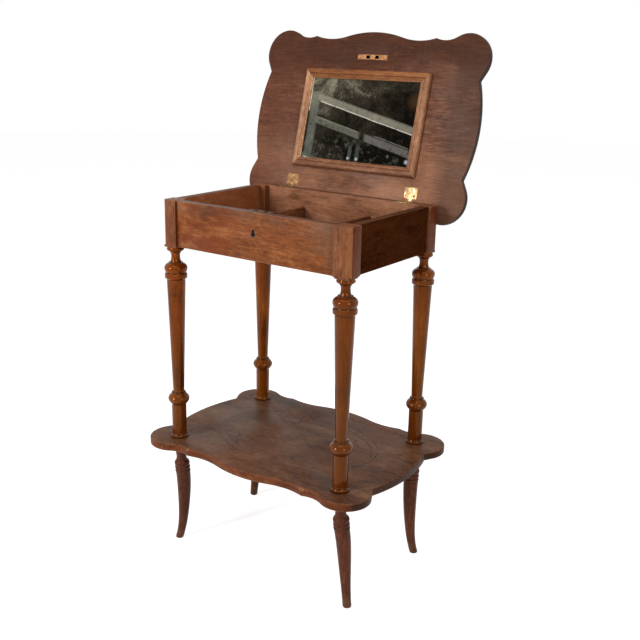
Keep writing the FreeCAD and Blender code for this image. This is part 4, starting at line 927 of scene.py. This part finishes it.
# the moulding's section: distance in from the outer edge, and height over the lid
railProfile = [
    (0.0, 0.0), (0.0, 5.2), (0.5, 6.7), (1.6, 7.9), (3.2, 8.7), (5.2, 9.0), (7.8, 9.0), (9.2, 8.6),
    (10.0, 7.9), (10.6, 6.9), (11.3, 6.5), (12.0, 7.0), (12.7, 7.8), (13.8, 8.0), (14.6, 7.6),
    (15.0, 6.5), (16.8, 6.0), (18.0, 6.5), (18.6, 6.2), (18.6, 4.9), (12.6, 4.9), (12.6, 0.0),
    (0.0, 0.0)]
railSizes = {"mitreGap": 0.5, "smooth": 28}


def lidReach(names):
    # the lowest and highest corner of some nodes along the open lid, up it and out of it
    back = lidPlace.inverted()
    points = [back @ vertex.co for name in names for vertex in nodes[name].data.vertices]
    return [[edge(point[axis] for point in points) for axis in range(3)] for edge in (min, max)]


def makeRail(name, halfLength):
    # the section drawn as a chain, closed to a face, run out along X and cut to its mitres
    rail = drawChain(name, [Vector((-halfLength, inward * mm, height * mm))
                            for inward, height in railProfile])
    mergeDrawn()
    wholeMesh()
    bpy.ops.mesh.edge_face_add()
    bpy.ops.mesh.extrude_region_move(TRANSFORM_OT_translate={"value": (2 * halfLength, 0, 0)})
    for side in (-1, 1):
        wholeMesh()
        bpy.ops.mesh.bisect(plane_co=(side * (halfLength - railSizes["mitreGap"] * mm), 0, 0),
                            plane_no=(side, 1, 0), clear_outer=True, use_fill=True)
    closeShape(railSizes["smooth"])
    return rail


def makeFrame():
    sides = ("bottom", "top", "left", "right")
    low, high = lidReach(["mirror_frame_" + side for side in sides])
    halfWide, halfHigh = (high[0] - low[0]) / 2, (high[1] - low[1]) / 2
    centre = [(a + b) / 2 for a, b in zip(low, high)]
    # side: half its length, how far out it lies, its turn and the way of its grain
    rails = {"bottom": (halfWide, (0, -halfHigh), 0, "x"), "top": (halfWide, (0, halfHigh), 180, "x"),
             "left": (halfHigh, (-halfWide, 0), -90, "z"), "right": (halfHigh, (halfWide, 0), 90, "z")}
    for side, (halfLength, out, turned, way) in rails.items():
        node = "mirror_frame_" + side
        rail = makeRail(node + "_rail", halfLength)
        spot = Matrix.Translation((centre[0] + out[0], centre[1] + out[1], low[2]))
        rail.data.transform(lidPlace @ spot @ Matrix.Rotation(math.radians(turned), 4, "Z"))
        # each rail's tones carry painted light and shade
        look = dict(frameWood, along=way, tones=railLightAndShade.get(side, frameWood["tones"]))
        finishPiece(rail, "lid", wood(node + "Wood", look), node)


# the room's painted reflection on the old silvering, in metres on the glass: each streak as its height
# over the slant, half width, from and to along X, tone and strength; each upright smear the same the other
# way; each spot as
# X, height, radius, tone and strength; the fade as what X and height add, and what is taken off
silveringAndReflection = {
    "dark": (18, 15, 11), "middle": (45, 40, 32), "pale": (116, 112, 94), "speck": (104, 108, 100),
    "cloudy": 0.65, "grainy": 0.2, "fade": (-0.9, 1.5, -0.8), "slant": 0.23, "wave": 0.0025,
    "full": 0.6, "cover": (0.34, 0.62), "edge": 0.004, "speckBand": (0.80, 0.83, 0.8, 0.15),
    "streaks": [
        (0.865, 0.0075, -0.105, 0.14, (126, 122, 108), 0.9),
        (0.872, 0.0012, -0.1, 0.14, (112, 108, 96), 0.6),
        (0.8579, 0.0015, -0.098, 0.14, (186, 182, 168), 0.9),
        (0.821, 0.008, -0.105, 0.005, (104, 104, 92), 0.8),
        (0.827, 0.0014, -0.102, 0.0, (124, 122, 108), 0.7),
        (0.831, 0.0014, -0.1, -0.01, (26, 26, 20), 0.8),
        (0.8215, 0.0085, 0.018, 0.14, (108, 104, 100), 0.75),
        (0.831, 0.0013, 0.04, 0.12, (124, 120, 114), 0.6),
        (0.74, 0.014, -0.13, -0.02, (96, 104, 92), 0.8),
        (0.744, 0.0016, -0.12, -0.085, (206, 206, 190), 0.8)],
    "smears": [
        (-0.111, 0.012, 0.775, 0.898, (108, 110, 100), 0.6),
        (-0.01, 0.005, 0.772, 0.8, (100, 104, 98), 0.45),
        (0.008, 0.006, 0.772, 0.805, (92, 98, 92), 0.4),
        # the pale line along the left sight edge: painted reflection of the frame's inner edge
        (-0.1238, 0.0014, 0.862, 0.926, (226, 216, 192), 0.95)],
    "spots": [
        (-0.012, 0.7755, 0.0045, (196, 204, 194), 0.9),
        (0.008, 0.7755, 0.005, (190, 200, 196), 0.9),
        (0.121, 0.779, 0.0058, (180, 196, 208), 0.8),
        (0.078, 0.786, 0.004, (120, 126, 120), 0.6),
        (-0.04, 0.87, 0.003, (140, 150, 138), 0.7),
        # the brownish spot at the right: painted reflection
        (0.118, 0.89, 0.024, (92, 66, 40), 0.4)]}


def addStreaks(tree, colour, across, along, cover, streaks):
    edge = silveringAndReflection["edge"]
    for middle, half, start, end, streakTone, strength in streaks:
        full = half * silveringAndReflection["full"]
        run = (middle - half, middle - full, middle + full, middle + half)
        mask = bandMask(tree, across, run, cover, silveringAndReflection["cover"], strength)
        mask = allOf(tree, mask, ramp(tree, along, start - edge, start + edge),
                     ramp(tree, along, end - edge, end + edge, 1.0, 0.0))
        colour = mixColour(tree, mask, colour, tone(*streakTone))
    return colour


def oldMirrorPaintedReflection():
    # the room's painted reflection on old silvering: dark and mottled, with pale slanting streaks and
    # smears; the specks are the silvering's own
    material, tree, shader = newMaterial("oldMirrorPaintedReflection")
    place = objectPlace(tree)
    axes = axesOf(tree, place)
    cloud = noise(tree, place, 16.0, 6.0, 0.62, 0.7)
    grain = noise(tree, place, 190.0, 3.0, 0.6)
    shade = mathNode(tree, "ADD", swing(tree, cloud, silveringAndReflection["cloudy"]),
                     swing(tree, grain, silveringAndReflection["grainy"]))
    # painted reflection: darker to the right, paler to the upper left
    fadeX, fadeUp, fadeStart = silveringAndReflection["fade"]
    fade = mathNode(tree, "MULTIPLY_ADD", axes["X"], fadeX, mathNode(
        tree, "MULTIPLY_ADD", axes["Z"], fadeUp, fadeStart))
    shade = mathNode(tree, "ADD", shade, fade)
    colour = mixColour(tree, ramp(tree, shade, 0.36, 0.58), tone(*silveringAndReflection["dark"]),
                       tone(*silveringAndReflection["middle"]))
    colour = mixColour(tree, ramp(tree, shade, 0.56, 0.78), colour, tone(*silveringAndReflection["pale"]))
    wavy = swing(tree, noise(tree, place, 30.0, 3.0), silveringAndReflection["wave"])
    across = mathNode(tree, "MULTIPLY_ADD", axes["X"], silveringAndReflection["slant"], axes["Z"])
    across = mathNode(tree, "ADD", across, wavy)
    upright = mathNode(tree, "ADD", axes["X"], wavy)
    cover = mathNode(tree, "ADD", grain, mathNode(tree, "MULTIPLY", cloud, 0.3))
    # pale smears and slanting streaks: painted reflection on the old silvering
    colour = addStreaks(tree, colour, upright, axes["Z"], cover, silveringAndReflection["smears"])
    colour = addStreaks(tree, colour, across, axes["X"], cover, silveringAndReflection["streaks"])
    # the specks lie thickest along the foot of the glass
    low = ramp(tree, axes["Z"], *silveringAndReflection["speckBand"])
    specks = ramp(tree, noise(tree, place, 80.0, 5.0, 0.75), 0.5, 0.8)
    colour = mixColour(tree, allOf(tree, specks, low), colour, tone(*silveringAndReflection["speck"]))
    for x, height, radius, spotTone, strength in silveringAndReflection["spots"]:
        away = vectorNode(tree, "SUBTRACT", place, (x, 0, height))
        away = vectorNode(tree, "MULTIPLY", away, (1, 0, 1))
        away = mathNode(tree, "ADD", vectorNode(tree, "LENGTH", away, output="Value"), wavy)
        near = allOf(tree, ramp(tree, away, 0.0, radius, 1.0, 0.0), strength)
        colour = mixColour(tree, near, colour, tone(*spotTone))
    feedAll(tree, shader, {"Base Color": colour, "Metallic": 1.0,
                           "Roughness": ramp(tree, shade, 0.3, 0.8, 0.1, 0.3)})
    return material


makeFrame()
dress(oldMirrorPaintedReflection(), "mirror_glass")
dress(wood("backingCard", cardWood), "mirror_backing_card")
print("mirror made")


# Hinges, strike, lock and screws

metals = {
    # the right hinge's brighter brass: painted highlight
    "highlitBrass": {"clean": (190, 164, 126), "tarnish": (158, 128, 88), "roughness": (0.3, 0.5)},
    "goldenBrass": {"clean": (148, 114, 80), "tarnish": (126, 94, 62), "roughness": (0.42, 0.62)},
    "strikeBrass": {"clean": (168, 122, 84), "tarnish": (138, 95, 60), "roughness": (0.4, 0.6),
                    "metallic": 0.8},
    # the escutcheon: tarnished brass, darkened further as the keyhole's painted shade
    "shadedRimBrass": {"clean": (66, 36, 20), "tarnish": (44, 24, 13), "roughness": (0.5, 0.7),
                 "metallic": 0.2},
    # the lock case: brass darkened so that the keyhole shows black, as painted shade
    "shadedLockBrass": {"clean": (104, 72, 46), "tarnish": (72, 48, 30), "roughness": (0.45, 0.65)},
    "agedSteel": {"clean": (120, 116, 110), "tarnish": (70, 62, 56), "roughness": (0.35, 0.6)},
    "darkSteel": {"clean": (92, 80, 66), "tarnish": (48, 38, 30), "roughness": (0.45, 0.7)},
    "screwBrass": {"clean": (186, 150, 104), "tarnish": (140, 104, 66), "roughness": (0.4, 0.6)}}
finish = {name: metal(name, look) for name, look in metals.items()}
# node: its metal, body, slot and the round on its edges in millimetres
plates = {
    "left_hinge_lid_leaf": ("goldenBrass", "lid", "hinge_brass", 0.25),
    "right_hinge_lid_leaf": ("highlitBrass", "lid", "hinge_brass", 0.25),
    "left_hinge_case_leaf": ("goldenBrass", "case", "hinge_brass", 0.25),
    "right_hinge_case_leaf": ("highlitBrass", "case", "hinge_brass", 0.25),
    "strike_plate": ("strikeBrass", "lid", "strike_brass", 0.25),
    "keyhole_escutcheon": ("shadedRimBrass", "case", "strike_brass", 0.2),
    "lock_case": ("shadedLockBrass", "case", "lock_brass", 0.3)}
# each group of screws: its body, the way its heads face, a head's width in millimetres, its metal
screwGroups = {
    "lid_hinge_screws": ("lid", lidInward, 5.6, "screwBrass"),
    "strike_screws": ("lid", lidInward, 4.6, "screwBrass"),
    "case_hinge_screws": ("case", (0, 0, 1), 5.6, "screwBrass"),
    "lock_screws": ("case", (0, 1, 0), 4.6, "darkSteel")}
slotCut = {"lengthShare": 1.3, "width": 0.8, "depth": 0.7, "crown": 0.05, "smooth": 35, "seed": 7}


def makePlates():
    for node, (metalName, body, slotName, arris) in plates.items():
        plate = soften(mergedCopy(node, node + "_metal"), arris)
        finishPiece(plate, body, finish[metalName], node)
    dress(finish["agedSteel"], "left_hinge_pin", "right_hinge_pin", "claw_pivot_pin",
          "key_drill_pin", "right_claw", "left_claw")


def cutSlot(screw, way, head, angle):
    # a driver's slot across the middle of the head
    points = [vertex.co for vertex in screw.data.vertices]
    top = max(point.dot(way) for point in points)
    crown = [point for point in points if point.dot(way) > top - slotCut["crown"] * mm]
    centre = sum(crown, Vector()) / len(crown)
    cutter = primitive("cutter", bpy.ops.mesh.primitive_cube_add, size=1, scale=(
        head * slotCut["lengthShare"] * mm, slotCut["width"] * mm, 2 * slotCut["depth"] * mm))
    facing = way.to_track_quat("Z", "Y").to_matrix().to_4x4()
    cutter.matrix_world = (Matrix.Translation(centre) @ facing @ Matrix.Rotation(angle, 4, "Z")
                           @ cutter.matrix_world)
    cutAway(screw, cutter)


def makeScrews():
    chance = random.Random(slotCut["seed"])
    for node, (body, way, head, metalName) in screwGroups.items():
        group = mergedCopy(node, node + "_slotted")
        pick(group)
        editMode(True)
        wholeMesh()
        bpy.ops.mesh.separate(type="LOOSE")
        editMode(False)
        screws = list(bpy.context.selected_objects)
        for screw in screws:
            cutSlot(screw, Vector(way), head, chance.uniform(0, math.pi))
        pick(group, *[screw for screw in screws if screw != group])
        bpy.ops.object.join()
        shadeSmooth(slotCut["smooth"])
        finishPiece(group, body, finish[metalName], node)
    dress(finish["darkSteel"], "mirror_frame_brads")


makePlates()
makeScrews()
print("fittings made")
